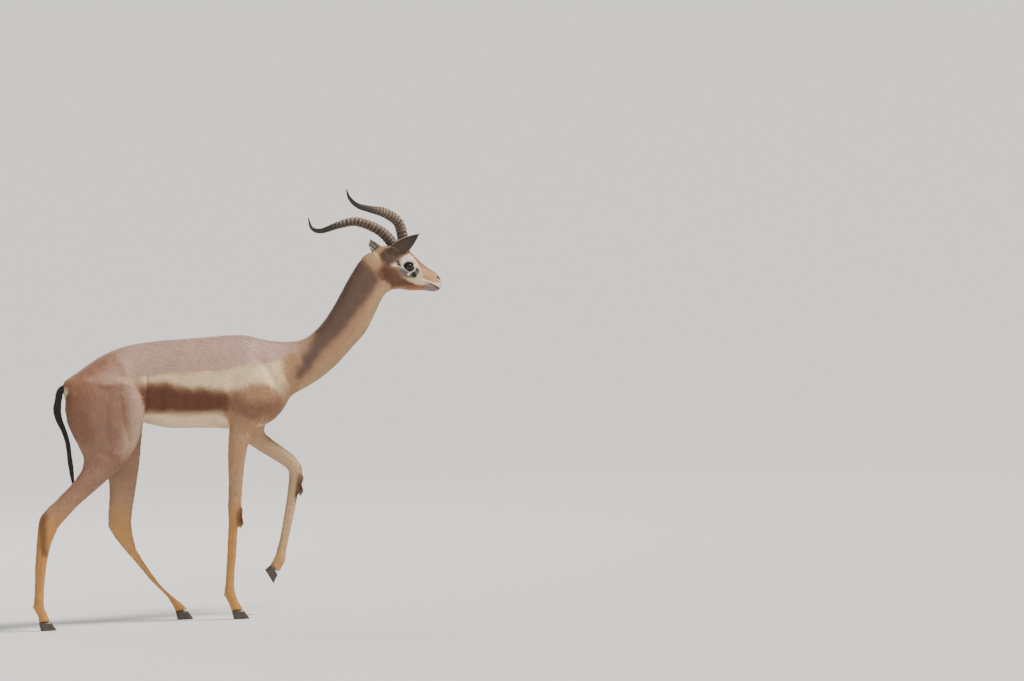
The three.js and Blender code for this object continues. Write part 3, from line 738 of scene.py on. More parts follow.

# %% [markdown]
# The saddle is the wide brown area over the back, its red-brown painted paler and pinker with a painted
# sheen. A pale band, painted bright as if sunlit, parts it from the lower flank, which is darkened with
# painted shade down to the white belly. All of their edges waver a little, as the edge of a pelt's pattern
# does.


# %% Markings of the trunk
def trunk_masks(points, normals, labels):
    flat, mirrored, wobble = side_view(points)
    x, z = mirrored.T
    torso, thigh = labels == "torso", has_word(labels, "thigh")
    trunk = has_word(labels, "torso", "neck", "thigh", "shoulder")
    band_top, band_low, white_top = (height_at(x, line) for line in (BAND_TOP, BAND_LOW, BELLY_TOP))
    front = across_at(281, 361)
    made = {}
    above = z - band_top + wobble * 0.6
    # The saddle's own red-brown is painted pale and pinkish, partly a painted sheen.
    made["saddle"] = smooth(-4, 5, above) * trunk * smooth(front + 140, front + 10, x)
    # The pale band is the flank's own buff, painted bright as if in sunlight.
    band = smooth(4, -5, above) * smooth(-11, 9, z - band_low + wobble)
    hind = smooth(across_at(150, 380), across_at(136, 380), x)
    made["band"] = band * trunk * (1 - 0.72 * hind) * smooth(front + 25, front - 5, x)
    # The lower flank below the band is painted shade: dark red-brown where the side turns away from the light.
    below = smooth(14, -30, z - band_low + 1.6 * wobble) * trunk
    behind = smooth(across_at(140, 400), across_at(146, 400), x)
    before = smooth(across_at(268, 390), across_at(240, 390), x)
    made["lower_flank"] = below * torso * behind * smooth(-10, 6, z - white_top) * before
    made["white"] = smooth(3, -4, z - white_top + 0.5 * wobble) * torso
    under = smooth(-0.25, -0.75, normals[:, 2]) * torso
    under = under * smooth(across_at(270, 420), across_at(252, 420), x)
    stern, _ = along(flat[:, [0, 2]], [[-262, 850], [-250, 800], [-240, 740], [-226, 690]])
    inner = np.abs(flat[:, 1]) < 66
    made["white"] = np.maximum(made["white"], under)
    made["white"] = np.maximum(made["white"], smooth(26, 10, stern) * (thigh | torso) * inner)
    rump_line, _ = along(mirrored, seen([(62, 396), (70, 376), (84, 364), (100, 358)]))
    made["rump"] = 0.85 * smooth(130, 5, rump_line) * trunk
    # Behind the thigh and low on the shoulder the coat is darkened with painted shade.
    haunch, _ = along(mirrored, seen([(66, 392), (70, 410), (82, 430)]))
    brisket, _ = along(mirrored, seen([(236, 402), (252, 410), (272, 404)]))
    made["shaded"] = 0.75 * smooth(75, 20, haunch) * thigh
    made["shaded"] = np.maximum(made["shaded"], 0.85 * smooth(56, 12, brisket + wobble) * trunk)
    made["shaded"] *= 1 - made["white"]
    return made


skin_points, skin_normals = points_of(skin.data), normals_of(skin.data)
skin_pairs = pairs_of(skin.data)
body_masks = trunk_masks(skin_points, skin_normals, skin_part)
print("on the trunk:", sorted(body_masks))

# %% [markdown]
# The legs are golden low down, pale on their inner sides and dark on knees and hocks; the hind legs keep
# little of the pale, and the thighs are dark, partly with painted shade, with a painted strip of sunlight on
# the front of the thigh. On the neck, painted shadow of the head darkens the nape, partly its own darker
# coat, and a strip behind the jaw, and painted sunlight makes the throat paler.


# %% Markings of legs and neck
# The side, the place in the drawing and the reach of each dark patch, on the knees and the cannons.
DARK_PATCHES = [(RIGHT, (350, 372), 30), (LEFT, (576, 468), 30)]
DARK_PATCHES += [(RIGHT, (352, 330), 22), (LEFT, (566, 420), 20)]


def leg_masks(points, normals, labels):
    flat, mirrored, wobble = side_view(points)
    thigh, hind_leg = has_word(labels, "thigh"), has_word(labels, "hind")
    legs = ~np.isin(labels, ["torso", "neck", "head"])
    facing_in = -np.sign(flat[:, 1]) * normals[:, 1]
    made = {}
    # The pale inner side is the legs' own colour; on the hind legs little of it is laid, which paints them in
    # shade.
    made["inner"] = np.where(hind_leg, 0.2, 0.85) * smooth(0.25, 0.8, facing_in)
    made["inner"] = made["inner"] * legs * smooth(80, 330, flat[:, 2])
    made["gold"] = smooth(470, 330, flat[:, 2]) * legs
    # Thighs and upper hind legs take a dark tone, partly their own and partly painted shade.
    made["thigh"] = np.maximum(thigh, hind_leg) * smooth(330, 560, flat[:, 2])
    # A painted strip of sunlight down the front of each thigh's outer face.
    strip, _ = along(mirrored, seen([(134, 378), (141, 400), (140, 424), (132, 444)]))
    made["thigh_front"] = 0.62 * smooth(62, 2, strip) * thigh * (flat[:, 1] * normals[:, 1] > 0)
    made["knee"] = np.zeros(len(points))
    for side, (patch_x, patch_z), reach in DARK_PATCHES:
        gap = np.hypot(flat[:, 0] - patch_x, 0.62 * (flat[:, 2] - patch_z))
        dark = smooth(reach, 8, gap + wobble) * legs * (np.sign(flat[:, 1]) == side)
        made["knee"] = np.maximum(made["knee"], dark)
    hock, _ = along(mirrored, seen([(46, 516), (44, 532), (46, 552)]))
    made["knee"] = np.maximum(made["knee"], 0.7 * smooth(20, 4, hock + wobble) * hind_leg * (flat[:, 1] < 0))
    return made


def neck_masks(points, labels):
    _, mirrored, wobble = side_view(points)
    x, z = mirrored.T
    neck = labels == "neck"
    # Painted shadow of the head down the side of the nape, partly the nape's own darker coat, and a painted
    # shadow strip behind the jaw.
    nape = 0.9 * smooth(-14, 14, inside(mirrored, seen(NAPE_SHADE)) + wobble) * neck
    jaw_shadow, _ = along(mirrored, seen([(384, 262), (385, 282), (380, 304)]))
    # The throat is painted paler, as painted sunlight on the front of the neck.
    throat = neck * smooth(75, 10, z - height_at(x, THROAT))
    return {"nape": np.maximum(nape, 0.8 * smooth(20, 6, jaw_shadow) * neck), "throat": throat}


body_masks.update(leg_masks(skin_points, skin_normals, skin_part))
body_masks.update(neck_masks(skin_points, skin_part))
names = sorted(body_masks)
evened = relax(np.stack([body_masks[name] for name in names], 1), skin_pairs, 5, 0.5)
skin_masks = dict(zip(names, evened.T))
print("masks of the body:", len(skin_masks))

# %% [markdown]
# The face has a broken white ring round the eye, a grey patch under it, a white muzzle and a russet
# bridge. Its edges are sharp, so they are worked out in the head's own frame and not evened out.

# %% Markings of the face
WHITE_FACE = [(66, 34), (80, 44), (98, 48), (114, 36), (126, 17), (138, -4), (138, -20), (144, -40)]
WHITE_FACE += [(162, -50), (154, -62), (132, -66), (112, -60), (88, -50), (70, -36)]
WHITE_FACE += [(58, -18), (57, 6), (60, 20)]
MUZZLE = [(166, -50), (182, -58), (206, -60), (214, -48), (226, -50)]
MUZZLE += [(228, -92), (206, -82), (184, -71), (166, -62), (150, -56)]
EAR_STEM = [(-12, 60), (-4, 34), (12, 10), (32, 20), (52, 30), (70, 44), (62, 64), (42, 80), (12, 78)]
RAGGED = [(1.9, 0.7, 0), (-0.8, 1.7, 1), (0.9, -1.3, 2), (0.35, 0.5, 4)]


def face_masks(points, labels):
    x, y, z = head_drawing(points).T
    y = np.abs(y)
    flat = np.stack([x, z], 1)
    is_head = labels == "head"
    ragged = sum(0.55 * np.sin(x * a + z * b + c) for a, b, c in RAGGED)
    side = smooth(12, 24, y)
    ring = smooth(-3.5, 3.5, inside(flat, WHITE_FACE) + ragged) * side
    low = smooth(-22, -34, z) * smooth(150, 130, x)
    lips = smooth(-3, 3, inside(flat, MUZZLE) + ragged)
    made = {"face_cream": ring * low * is_head}
    made["face_white"] = np.maximum(ring * (1 - 0.85 * low), lips) * is_head
    temple, _ = along(flat, [(32, 13), (48, 11)])
    made["face_white"] = np.maximum(made["face_white"], 0.7 * smooth(11, 3, temple + ragged) * is_head * side)
    grey_at, _ = along(flat, [(60, -12), (78, -26), (104, -28), (122, -14)])
    made["grey"] = smooth(17, 6, grey_at + ragged) * is_head * side
    stripe, _ = along(flat, [(84, -27), (98, -18), (112, -8)])
    made["grey"] = made["grey"] * smooth(2, 5, stripe)
    lip, _ = along(flat, [(160, -74), (186, -82), (208, -92)])
    made["lip"] = smooth(14, 5, lip) * is_head
    black = np.zeros(len(points))
    for line, radius in [
        ([(121, -10), (123, -12)], 4.5),
        ([(105, -25), (109, -30)], 8.0),
        ([(50, 13), (56, 11)], 5.5),
        ([(48, 22), (52, 16)], 4.0),
        ([(218, -50), (212, -43), (205, -38)], 3.6),
        ([(140, -52), (152, -54), (168, -59)], 1.5),
        ([(168, -60), (184, -69), (204, -80), (218, -87)], 2.6),
    ]:
        gap, _ = along(flat, line)
        black = np.maximum(black, smooth(radius + 1.5, radius - 1.5, gap + ragged * 0.5))
    # The dark rim round the eye is drawn out to a point before and behind it.
    lean = z - 1.0 + 0.22 * (x - 89)
    eye_gap = np.hypot((x - 89) / 1.28, lean * (1 + 0.0006 * (x - 89) ** 2))
    black = np.maximum(black, smooth(19.2, 16.6, eye_gap + ragged * 0.4) * smooth(20, 30, y))
    made["black"] = black * is_head * smooth(4, 12, y + 8 * (x > 190))
    forehead = smooth(38, 20, y) * smooth(26, 52, x) * smooth(-62, -30, z)
    bridge, _ = along(flat, [(60, 84), (96, 70), (130, 36), (160, 10), (190, -14), (206, -28)])
    coloured = is_head * (1 - made["face_white"])
    made["russet"] = np.maximum(forehead * smooth(26, 12, y), smooth(20, 6, bridge)) * coloured
    nose, _ = along(flat, [(150, -22), (176, -36), (198, -44)])
    made["nose"] = smooth(30, 12, nose) * coloured
    jaw, _ = along(flat, [(30, -72), (70, -72), (110, -72), (150, -76)])
    made["russet"] = np.maximum(made["russet"], 0.42 * smooth(16, 4, jaw) * coloured)
    # The dark lower cheek is partly its own brown and partly painted shade under the head.
    cheek, _ = along(flat, [(0, -14), (26, -26), (44, -56), (86, -70), (130, -78)])
    made["cheek"] = smooth(44 - 12 * smooth(40, 110, x), 14, cheek) * smooth(4, 20, y) * coloured
    made["ear_stem"] = smooth(-13, 9, inside(flat, EAR_STEM) + 2 * ragged) * smooth(24, 36, y) * is_head
    # A painted patch of sunlight on the poll behind the horns.
    poll, _ = along(flat, [(-30, 70), (0, 84)])
    made["poll"] = smooth(46, 18, poll) * is_head
    return made


skin_masks.update(face_masks(skin_points, skin_part))
for name, values in skin_masks.items():
    mask(skin.data, name, values)
# Only the ears have this marking, but their tufts are painted by the same group.
skin_masks["ear_white"] = np.zeros(len(skin_points))
print("masks:", [a.name for a in skin.data.attributes if a.data_type == "FLOAT"])

# %% [markdown]
# ## Shader groups
# One group paints the markings: it starts from the fawn of the coat and lays each marking over it in
# order. Its inputs are the colours, its output one colour. Another group gives the fine unevenness of
# colour that every pelt has, and a third the nap, a bump of short fibres.


# %% Small helpers for nodes
def group(name, inputs, outputs):
    made = bpy.data.node_groups.new(name, "ShaderNodeTree")
    for label, kind, value in inputs:
        socket_made = made.interface.new_socket(name=label, in_out="INPUT", socket_type=kind)
        if value is not None:
            socket_made.default_value = value
    for label, kind in outputs:
        made.interface.new_socket(name=label, in_out="OUTPUT", socket_type=kind)
    return made, made.nodes.new("NodeGroupInput"), made.nodes.new("NodeGroupOutput")


def node(tree, kind, links=(), **settings):
    made = tree.nodes.new(kind)
    for key, value in settings.items():
        if hasattr(made, key):
            setattr(made, key, value)
        else:
            made.inputs[key].default_value = value
    for socket_name, source in dict(links).items():
        tree.links.new(source, made.inputs[socket_name])
    return made


def rgb(r, g, b):
    return (r, g, b, 1.0)


COAT_COLOURS = {
    "fawn": rgb(0.400, 0.220, 0.115),
    # dark thigh tone, partly painted shade
    "thigh": rgb(0.265, 0.135, 0.088),
    # painted sunlight on the front of the thigh
    "thigh_front": rgb(0.600, 0.400, 0.290),
    # painted shadow of the head on the nape, partly its own darker coat
    "nape": rgb(0.095, 0.057, 0.044),
    # painted sunlight on the throat
    "throat": rgb(0.480, 0.300, 0.160),
    # the saddle's red-brown with a painted sheen
    "saddle": rgb(0.500, 0.310, 0.245),
    "rump": rgb(0.330, 0.140, 0.068),
    "shaded": rgb(0.190, 0.085, 0.048),
    # the flank's own buff, painted bright as if sunlit
    "band": rgb(0.800, 0.590, 0.360),
    # painted shade on the lower flank
    "lower_flank": rgb(0.118, 0.036, 0.013),
    "gold": rgb(0.460, 0.215, 0.056),
    "inner": rgb(0.520, 0.350, 0.200),
    "knee": rgb(0.080, 0.030, 0.012),
    # white, tinted warm partly by painted light bounced from the ground
    "white": rgb(0.780, 0.580, 0.360),
    # painted sunlight on the poll
    "poll": rgb(0.450, 0.280, 0.140),
    # the cheek's brown, partly painted shade
    "cheek": rgb(0.120, 0.050, 0.022),
    "russet": rgb(0.480, 0.190, 0.080),
    "nose": rgb(0.600, 0.330, 0.170),
    "face_cream": rgb(0.640, 0.460, 0.280),
    "face_white": rgb(0.860, 0.760, 0.610),
    "grey": rgb(0.135, 0.110, 0.102),
    "lip": rgb(0.260, 0.190, 0.170),
    "ear_stem": rgb(0.075, 0.043, 0.029),
    "ear_white": rgb(0.600, 0.480, 0.340),
    "black": rgb(0.009, 0.008, 0.007),
}
markings, take, give = group(
    "coat_markings",
    [(name, "NodeSocketColor", colour) for name, colour in COAT_COLOURS.items()],
    [("colour", "NodeSocketColor")],
)
last = take.outputs["fawn"]
for name in list(COAT_COLOURS)[1:]:
    where = node(markings, "ShaderNodeAttribute", attribute_name=name)
    layer = node(markings, "ShaderNodeMix", data_type="RGBA")
    markings.links.new(where.outputs["Fac"], layer.inputs[0])
    markings.links.new(last, layer.inputs[6])
    markings.links.new(take.outputs[name], layer.inputs[7])
    last = layer.outputs[2]
markings.links.new(last, give.inputs["colour"])
print("markings group lays", len(COAT_COLOURS), "colours")

# %% [markdown]
# A pelt has no flat colour, so this group makes a colour lighter and darker in patches. The other turns
# a fine noise, drawn out one way, into a height for a bump, which reads as the grain of short hair.

# %% Uneven colour and nap
uneven, take, give = group(
    "uneven_colour",
    [
        ("colour", "NodeSocketColor", rgb(0.5, 0.5, 0.5)),
        ("scale", "NodeSocketFloat", 40.0),
        ("depth", "NodeSocketFloat", 0.3),
    ],
    [("colour", "NodeSocketColor"), ("value", "NodeSocketFloat")],
)
where = node(uneven, "ShaderNodeTexCoord")
links = {"Vector": where.outputs["Object"], "Scale": take.outputs["scale"]}
patch = node(uneven, "ShaderNodeTexNoise", links, Detail=7.0, Roughness=0.62)
low = node(uneven, "ShaderNodeMath", {0: take.outputs["depth"]}, operation="MULTIPLY")
low.inputs[1].default_value = -0.5
base = node(uneven, "ShaderNodeMath", {0: low.outputs[0]}, operation="ADD")
base.inputs[1].default_value = 1.0
links = {0: patch.outputs["Fac"], 1: take.outputs["depth"]}
spread = node(uneven, "ShaderNodeMath", links, operation="MULTIPLY")
value = node(uneven, "ShaderNodeMath", {0: base.outputs[0], 1: spread.outputs[0]}, operation="ADD")
tint = node(uneven, "ShaderNodeVectorMath", {0: take.outputs["colour"]}, operation="SCALE")
uneven.links.new(value.outputs[0], tint.inputs["Scale"])
uneven.links.new(tint.outputs[0], give.inputs["colour"])
uneven.links.new(value.outputs[0], give.inputs["value"])

nap, take, give = group(
    "nap",
    [("fineness", "NodeSocketFloat", 900.0), ("stretch", "NodeSocketFloat", 0.25)],
    [("height", "NodeSocketFloat")],
)
where = node(nap, "ShaderNodeTexCoord")
shape = node(nap, "ShaderNodeMapping", {"Vector": where.outputs["Object"]})
size = node(nap, "ShaderNodeCombineXYZ", {"X": take.outputs["stretch"]}, Y=1.0, Z=0.8)
nap.links.new(size.outputs[0], shape.inputs["Scale"])
links = {"Vector": shape.outputs[0], "Scale": take.outputs["fineness"]}
fibres = node(nap, "ShaderNodeTexNoise", links, Detail=3.0)
nap.links.new(fibres.outputs["Fac"], give.inputs["height"])
print("groups:", [g.name for g in bpy.data.node_groups])


# %% [markdown]
# ## Finishes
# Skin and tufts share one recipe, `pelt`; the tufts also take their own lightness, so that neighbours
# differ. Everything else that is of one colour comes from `plain`: hoof, black hair, lids and the floor.


# %% Materials
def material(name, colour=rgb(0.5, 0.5, 0.5), rough=0.6, **sockets):
    made = bpy.data.materials.new(name)
    made.use_nodes = True
    shader = made.node_tree.nodes["Principled BSDF"]
    shader.inputs["Base Color"].default_value = colour
    shader.inputs["Roughness"].default_value = rough
    for key, value in sockets.items():
        shader.inputs[key.replace("_", " ")].default_value = value
    return made, made.node_tree, shader


def place_group(tree, which, **values):
    made = tree.nodes.new("ShaderNodeGroup")
    made.node_tree = which
    for key, value in values.items():
        if hasattr(value, "links"):
            tree.links.new(value, made.inputs[key])
        else:
            made.inputs[key].default_value = value
    return made


def pelt(name, rough, sheen, bump_height, shade=False):
    gloss = {"Sheen_Weight": sheen, "Sheen_Roughness": 0.45, "Specular_IOR_Level": 0.35}
    made, tree, shader = material(name, rough=rough, **gloss)
    paint = place_group(tree, markings)
    patchy = place_group(tree, uneven, colour=paint.outputs[0], scale=34.0, depth=0.34)
    fine = place_group(tree, uneven, colour=patchy.outputs[0], scale=420.0, depth=0.42)
    out = fine.outputs[0]
    if shade:
        tuft = node(tree, "ShaderNodeAttribute", attribute_name="shade")
        light = node(tree, "ShaderNodeVectorMath", {0: out}, operation="SCALE")
        tree.links.new(tuft.outputs["Fac"], light.inputs["Scale"])
        out = light.outputs[0]
    tree.links.new(out, shader.inputs["Base Color"])
    fur = place_group(tree, nap, fineness=620.0, stretch=0.3)
    bump = node(tree, "ShaderNodeBump", {"Height": fur.outputs[0]}, Strength=0.7, Distance=bump_height)
    tree.links.new(bump.outputs[0], shader.inputs["Normal"])
    return made


SKIN_PELT = pelt("sleek_pelt", 0.55, 0.08, 0.0010)
TUFT_PELT = pelt("pelt_hairs", 0.48, 0.05, 0.0002, shade=True)


def plain(name, colour, rough, scale, depth, bump_scale, bump_height, **sockets):
    made, tree, shader = material(name, rough=rough, **sockets)
    mix = place_group(tree, uneven, colour=colour, scale=scale, depth=depth)
    tree.links.new(mix.outputs[0], shader.inputs["Base Color"])
    grain = place_group(tree, nap, fineness=bump_scale, stretch=1.0)
    bump = node(tree, "ShaderNodeBump", {"Height": grain.outputs[0]}, Strength=0.6, Distance=bump_height)
    tree.links.new(bump.outputs[0], shader.inputs["Normal"])
    return made


HOOF_HORN = plain("hoof_horn", rgb(0.055, 0.040, 0.030), 0.38, 60.0, 0.7, 300.0, 0.0006)
BLACK_HAIR = plain("black_hair", rgb(0.016, 0.012, 0.010), 0.55, 120.0, 0.6, 900.0, 0.0004, Sheen_Weight=0.15)
LID_SKIN = plain("lid_skin", rgb(0.006, 0.005, 0.005), 0.5, 300.0, 0.5, 700.0, 0.0003, Specular_IOR_Level=0.3)
FLOOR_PAPER = plain("floor_paper", rgb(0.80, 0.785, 0.755), 0.9, 3.0, 0.03, 40.0, 0.0005)
floor.data.materials.append(FLOOR_PAPER)
skin.data.materials.append(SKIN_PELT)
print("materials:", [m.name for m in bpy.data.materials])

# %% [markdown]
# ## Horns
# Each horn is a long S: up and back from the brow, then hooked up at the tip. About twenty rings stand
# out over more than half of its length, strongest on the front, and they fade into the smooth dark tip.
# Hundreds of circles of points along a curve carry them, and finer growth lines lie in the same mesh.

# %% Build the horns
# A row of a horn is x, y and z in the head's frame and its half width there, in millimetres.
HORN_RIGHT = [(84, 30, 60, 22), (83, 37, 120, 20), (66, 52, 168, 18), (12, 76, 198, 16)]
HORN_RIGHT += [(-54, 102, 211, 13), (-104, 122, 222, 10), (-136, 135, 248, 7), (-146, 140, 282, 2)]
HORN_LEFT = [(80, 30, 60, 22), (64, 38, 118, 20), (28, 58, 168, 18), (-38, 84, 206, 16)]
HORN_LEFT += [(-100, 106, 203, 13), (-160, 128, 191, 10), (-190, 140, 206, 7), (-198, 142, 246, 2)]
RING_SPACING = 14.5


def horn(name, side, rows, ring_count, seed):
    rows = np.array(rows, float)
    path = np.hstack([head_place(side, rows[:, :3]), rows[:, 3:] / 1000])
    steps, sides = 440, 36
    made, tangent, length = curve(path, steps)
    normal, across = frames_along(tangent)
    run = np.linspace(0, length * 1000, steps)
    dice = np.random.default_rng(seed)
    pitch = RING_SPACING * (1 + 0.10 * dice.uniform(-1, 1, ring_count + 1))
    edges = np.cumsum(pitch) - pitch[0]
    ring = np.clip(np.searchsorted(edges, run, side="right") - 1, 0, ring_count)
    within = (run - edges[ring]) / pitch[ring]
    # A ring rises slowly from its foot and drops sharply on the side of the tip.
    ridge = np.where(within < 0.62, smooth(0.05, 0.55, within), smooth(0.95, 0.68, within))
    fade = smooth(ring_count * RING_SPACING * 1.04, ring_count * RING_SPACING * 0.78, run) * smooth(2, 16, run)
    fade = fade * (0.55 + 0.45 * smooth(30, 150, run))
    angle = np.linspace(0, 2 * np.pi, sides, endpoint=False)
    outward = normal[:, None] * np.cos(angle)[None, :, None] + across[:, None] * np.sin(angle)[None, :, None]
    forward = head_place(side, [1, 0, 0]) - head_place(side, [0, 0, 0])
    forward = 0.7 * forward / np.linalg.norm(forward) + np.array([0, 0, 0.8])
    front = smooth(-0.5, 0.8, outward @ forward)
    wave = np.sin(angle * 3 + dice.uniform(0, 6))[None, :] * 0.25 + np.sin(angle * 7)[None, :] * 0.12
    high = (ridge * fade)[:, None] * (1.6 + 1.9 * front + wave * 0.8)
    growth = 0.22 * np.sin(run[:, None] * 2.6 + 0.8 * wave) * (0.4 + 0.6 * fade[:, None])
    streak = 0.10 * np.sin(angle * 23)[None, :]
    radius = made[:, 3][:, None] - 0.0006 + (high + growth + streak * (1 - fade[:, None])) / 1000
    points = made[:, None, :3] + outward * radius[:, :, None]
    piece = new_piece(name, points.reshape(-1, 3), tube_faces(steps, sides))
    mask(piece.data, "ridge", ((ridge * fade)[:, None] * (0.35 + 0.65 * front)).ravel())
    mask(piece.data, "to_tip", np.repeat(run / run[-1], sides))
    mask(piece.data, "front", front.ravel())
    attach(piece, "root")
    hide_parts(name)
    return piece


horns = [horn("horn_right", RIGHT, HORN_RIGHT, 17, 11), horn("horn_left", LEFT, HORN_LEFT, 22, 12)]
for piece in horns:
    piece.name = "ringed_" + piece.name
print("horn points:", len(horns[0].data.vertices))

# %% [markdown]
# Horn is keratin: brown-black in the grooves, worn paler and greyer where the rings rub, and nearly black
# and polished at the tip. The ring mask that shaped it also paints it.

# %% Horn material
made, tree, shader = material("ringed_horn", rough=0.46, Specular_IOR_Level=0.5)
ridge = node(tree, "ShaderNodeAttribute", attribute_name="ridge")
tip = node(tree, "ShaderNodeAttribute", attribute_name="to_tip")
front = node(tree, "ShaderNodeAttribute", attribute_name="front")
brown = node(tree, "ShaderNodeMix", data_type="RGBA")
tree.links.new(front.outputs["Fac"], brown.inputs[0])
brown.inputs[6].default_value = rgb(0.016, 0.009, 0.006)
brown.inputs[7].default_value = rgb(0.085, 0.046, 0.027)
worn = node(tree, "ShaderNodeMix", data_type="RGBA")
tree.links.new(ridge.outputs["Fac"], worn.inputs[0])
tree.links.new(brown.outputs[2], worn.inputs[6])
worn.inputs[7].default_value = rgb(0.310, 0.205, 0.130)
ramp = node(tree, "ShaderNodeMapRange", {"Value": tip.outputs["Fac"]})
ramp.inputs["From Min"].default_value = 0.55
ramp.inputs["From Max"].default_value = 0.85
dark = node(tree, "ShaderNodeMix", data_type="RGBA")
tree.links.new(ramp.outputs[0], dark.inputs[0])
tree.links.new(worn.outputs[2], dark.inputs[6])
dark.inputs[7].default_value = rgb(0.010, 0.007, 0.005)
patchy = place_group(tree, uneven, colour=dark.outputs[2], scale=90.0, depth=0.55)
tree.links.new(patchy.outputs[0], shader.inputs["Base Color"])
grain = place_group(tree, nap, fineness=500.0, stretch=1.0)
bump = node(tree, "ShaderNodeBump", {"Height": grain.outputs[0]}, Strength=0.6, Distance=0.0006)
tree.links.new(bump.outputs[0], shader.inputs["Normal"])
HORN = made
for piece in horns:
    piece.data.materials.append(HORN)
print("horn finished")

# %% [markdown]
# ## Eyes
# The eye is large, dark and wet. Each is one ball that bulges a little in front, and two masks on it
# place the dark brown iris and the wide pupil of a hoofed animal. A smooth coat in the finish holds the
# highlight. The lid's rim is a thin black rod around the almond opening.


# %% Build the eyes
def eye(side):
    word = "right" if side == RIGHT else "left"
    centre, out, front, rise = SOCKETS[side]
    rings, sides = 40, 64
    turn = np.linspace(0, 2 * np.pi, sides, endpoint=False)
    turn, tilt = np.meshgrid(turn, np.linspace(0.0001, np.pi * 0.62, rings))
    radius = (EYE_RADIUS - 0.4) / 1000
    shape = np.cos(tilt)[..., None] * out + np.sin(tilt)[..., None] * (
        np.cos(turn)[..., None] * front + np.sin(turn)[..., None] * rise
    )
    bulge = 1 + 0.045 * np.exp(-((tilt / 0.42) ** 2))
    points = centre + shape * (radius * bulge)[..., None]
    ball = new_piece("eyeball_" + word, points.reshape(-1, 3), tube_faces(rings, sides))
    if ball.data.polygons[10].normal.dot(Vector(shape[1, 0])) < 0:
        ball.data.flip_normals()
    flat_x = np.sin(tilt) * np.cos(turn) * EYE_RADIUS
    flat_y = np.sin(tilt) * np.sin(turn) * EYE_RADIUS
    pupil = smooth(1.08, 0.95, np.hypot(flat_x / 8.5, flat_y / 5.6))
    iris = smooth(14.2, 13.0, np.hypot(flat_x, flat_y))
    mask(ball.data, "pupil", pupil.ravel())
    mask(ball.data, "iris", iris.ravel())
    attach(ball, "root")
    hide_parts("eye_" + word)
    return ball


def rim(side):
    """The wet black edge of the lids: a rod that closes on itself, so its last faces use its first points."""
    word = "right" if side == RIGHT else "left"
    centre, out, front, rise = SOCKETS[side]
    steps, sides = 80, 10
    turn = np.linspace(0, 2 * np.pi, steps, endpoint=False)
    x = 16.6 * np.cos(turn)
    y = np.where(np.sin(turn) > 0, 12.6, 11.9) * np.sin(turn) - 0.6 + 0.10 * x
    lift = np.sqrt(np.clip(EYE_RADIUS**2 - x**2 - y**2, 4, None)) + 1.2
    middle = centre + (x[:, None] * front + y[:, None] * rise + lift[:, None] * out) / 1000
    loop = np.vstack([middle, middle[:1]])
    thick = np.full(len(loop), 0.0013)
    points = rod(loop, thick, thick, sides, out)[: steps * sides]
    faces = [tuple(k % len(points) for k in face) for face in tube_faces(steps + 1, sides, caps=False)]
    piece = new_piece("lid_rim_" + word, points, faces)
    piece.data.materials.append(LID_SKIN)
    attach(piece, "root")
    return piece


eyeballs = [eye(side) for side in (LEFT, RIGHT)]
rims = [rim(side) for side in (LEFT, RIGHT)]

gloss = {"Coat_Weight": 0.25, "Coat_Roughness": 0.03, "Specular_IOR_Level": 0.28}
made, tree, shader = material("wet_eye", rough=0.08, **gloss)
iris = node(tree, "ShaderNodeAttribute", attribute_name="iris")
pupil = node(tree, "ShaderNodeAttribute", attribute_name="pupil")
fibres = place_group(tree, uneven, colour=rgb(0.020, 0.009, 0.005), scale=600.0, depth=0.9)
white = node(tree, "ShaderNodeMix", data_type="RGBA")
tree.links.new(iris.outputs["Fac"], white.inputs[0])
white.inputs[6].default_value = rgb(0.008, 0.005, 0.004)
tree.links.new(fibres.outputs[0], white.inputs[7])
black = node(tree, "ShaderNodeMix", data_type="RGBA")
tree.links.new(pupil.outputs["Fac"], black.inputs[0])
tree.links.new(white.outputs[2], black.inputs[6])
black.inputs[7].default_value = rgb(0.003, 0.003, 0.004)
tree.links.new(black.outputs[2], shader.inputs["Base Color"])
for piece in eyeballs:
    piece.data.materials.append(made)
print("eyes and lids:", [piece.name for piece in eyeballs + rims])

# %% [markdown]
# ## Ears
# The ears are long narrow leaves, rolled into a cup at the root and opening towards the tip. They are
# built as a swept arc with an outer and an inner face, fine enough to show the curled edge, and the
# root sinks into the skull. The back is dark brown, the cup a paler grey-brown with dark lines, its own
# pale colour darkened with painted shade, and the edges palest.

# %% Build the ears
EAR_BASE = (13, 36, 40)
EAR_WIDTH, EAR_THICKNESS = 58.0, 4.0
EAR_GRIDS = {}


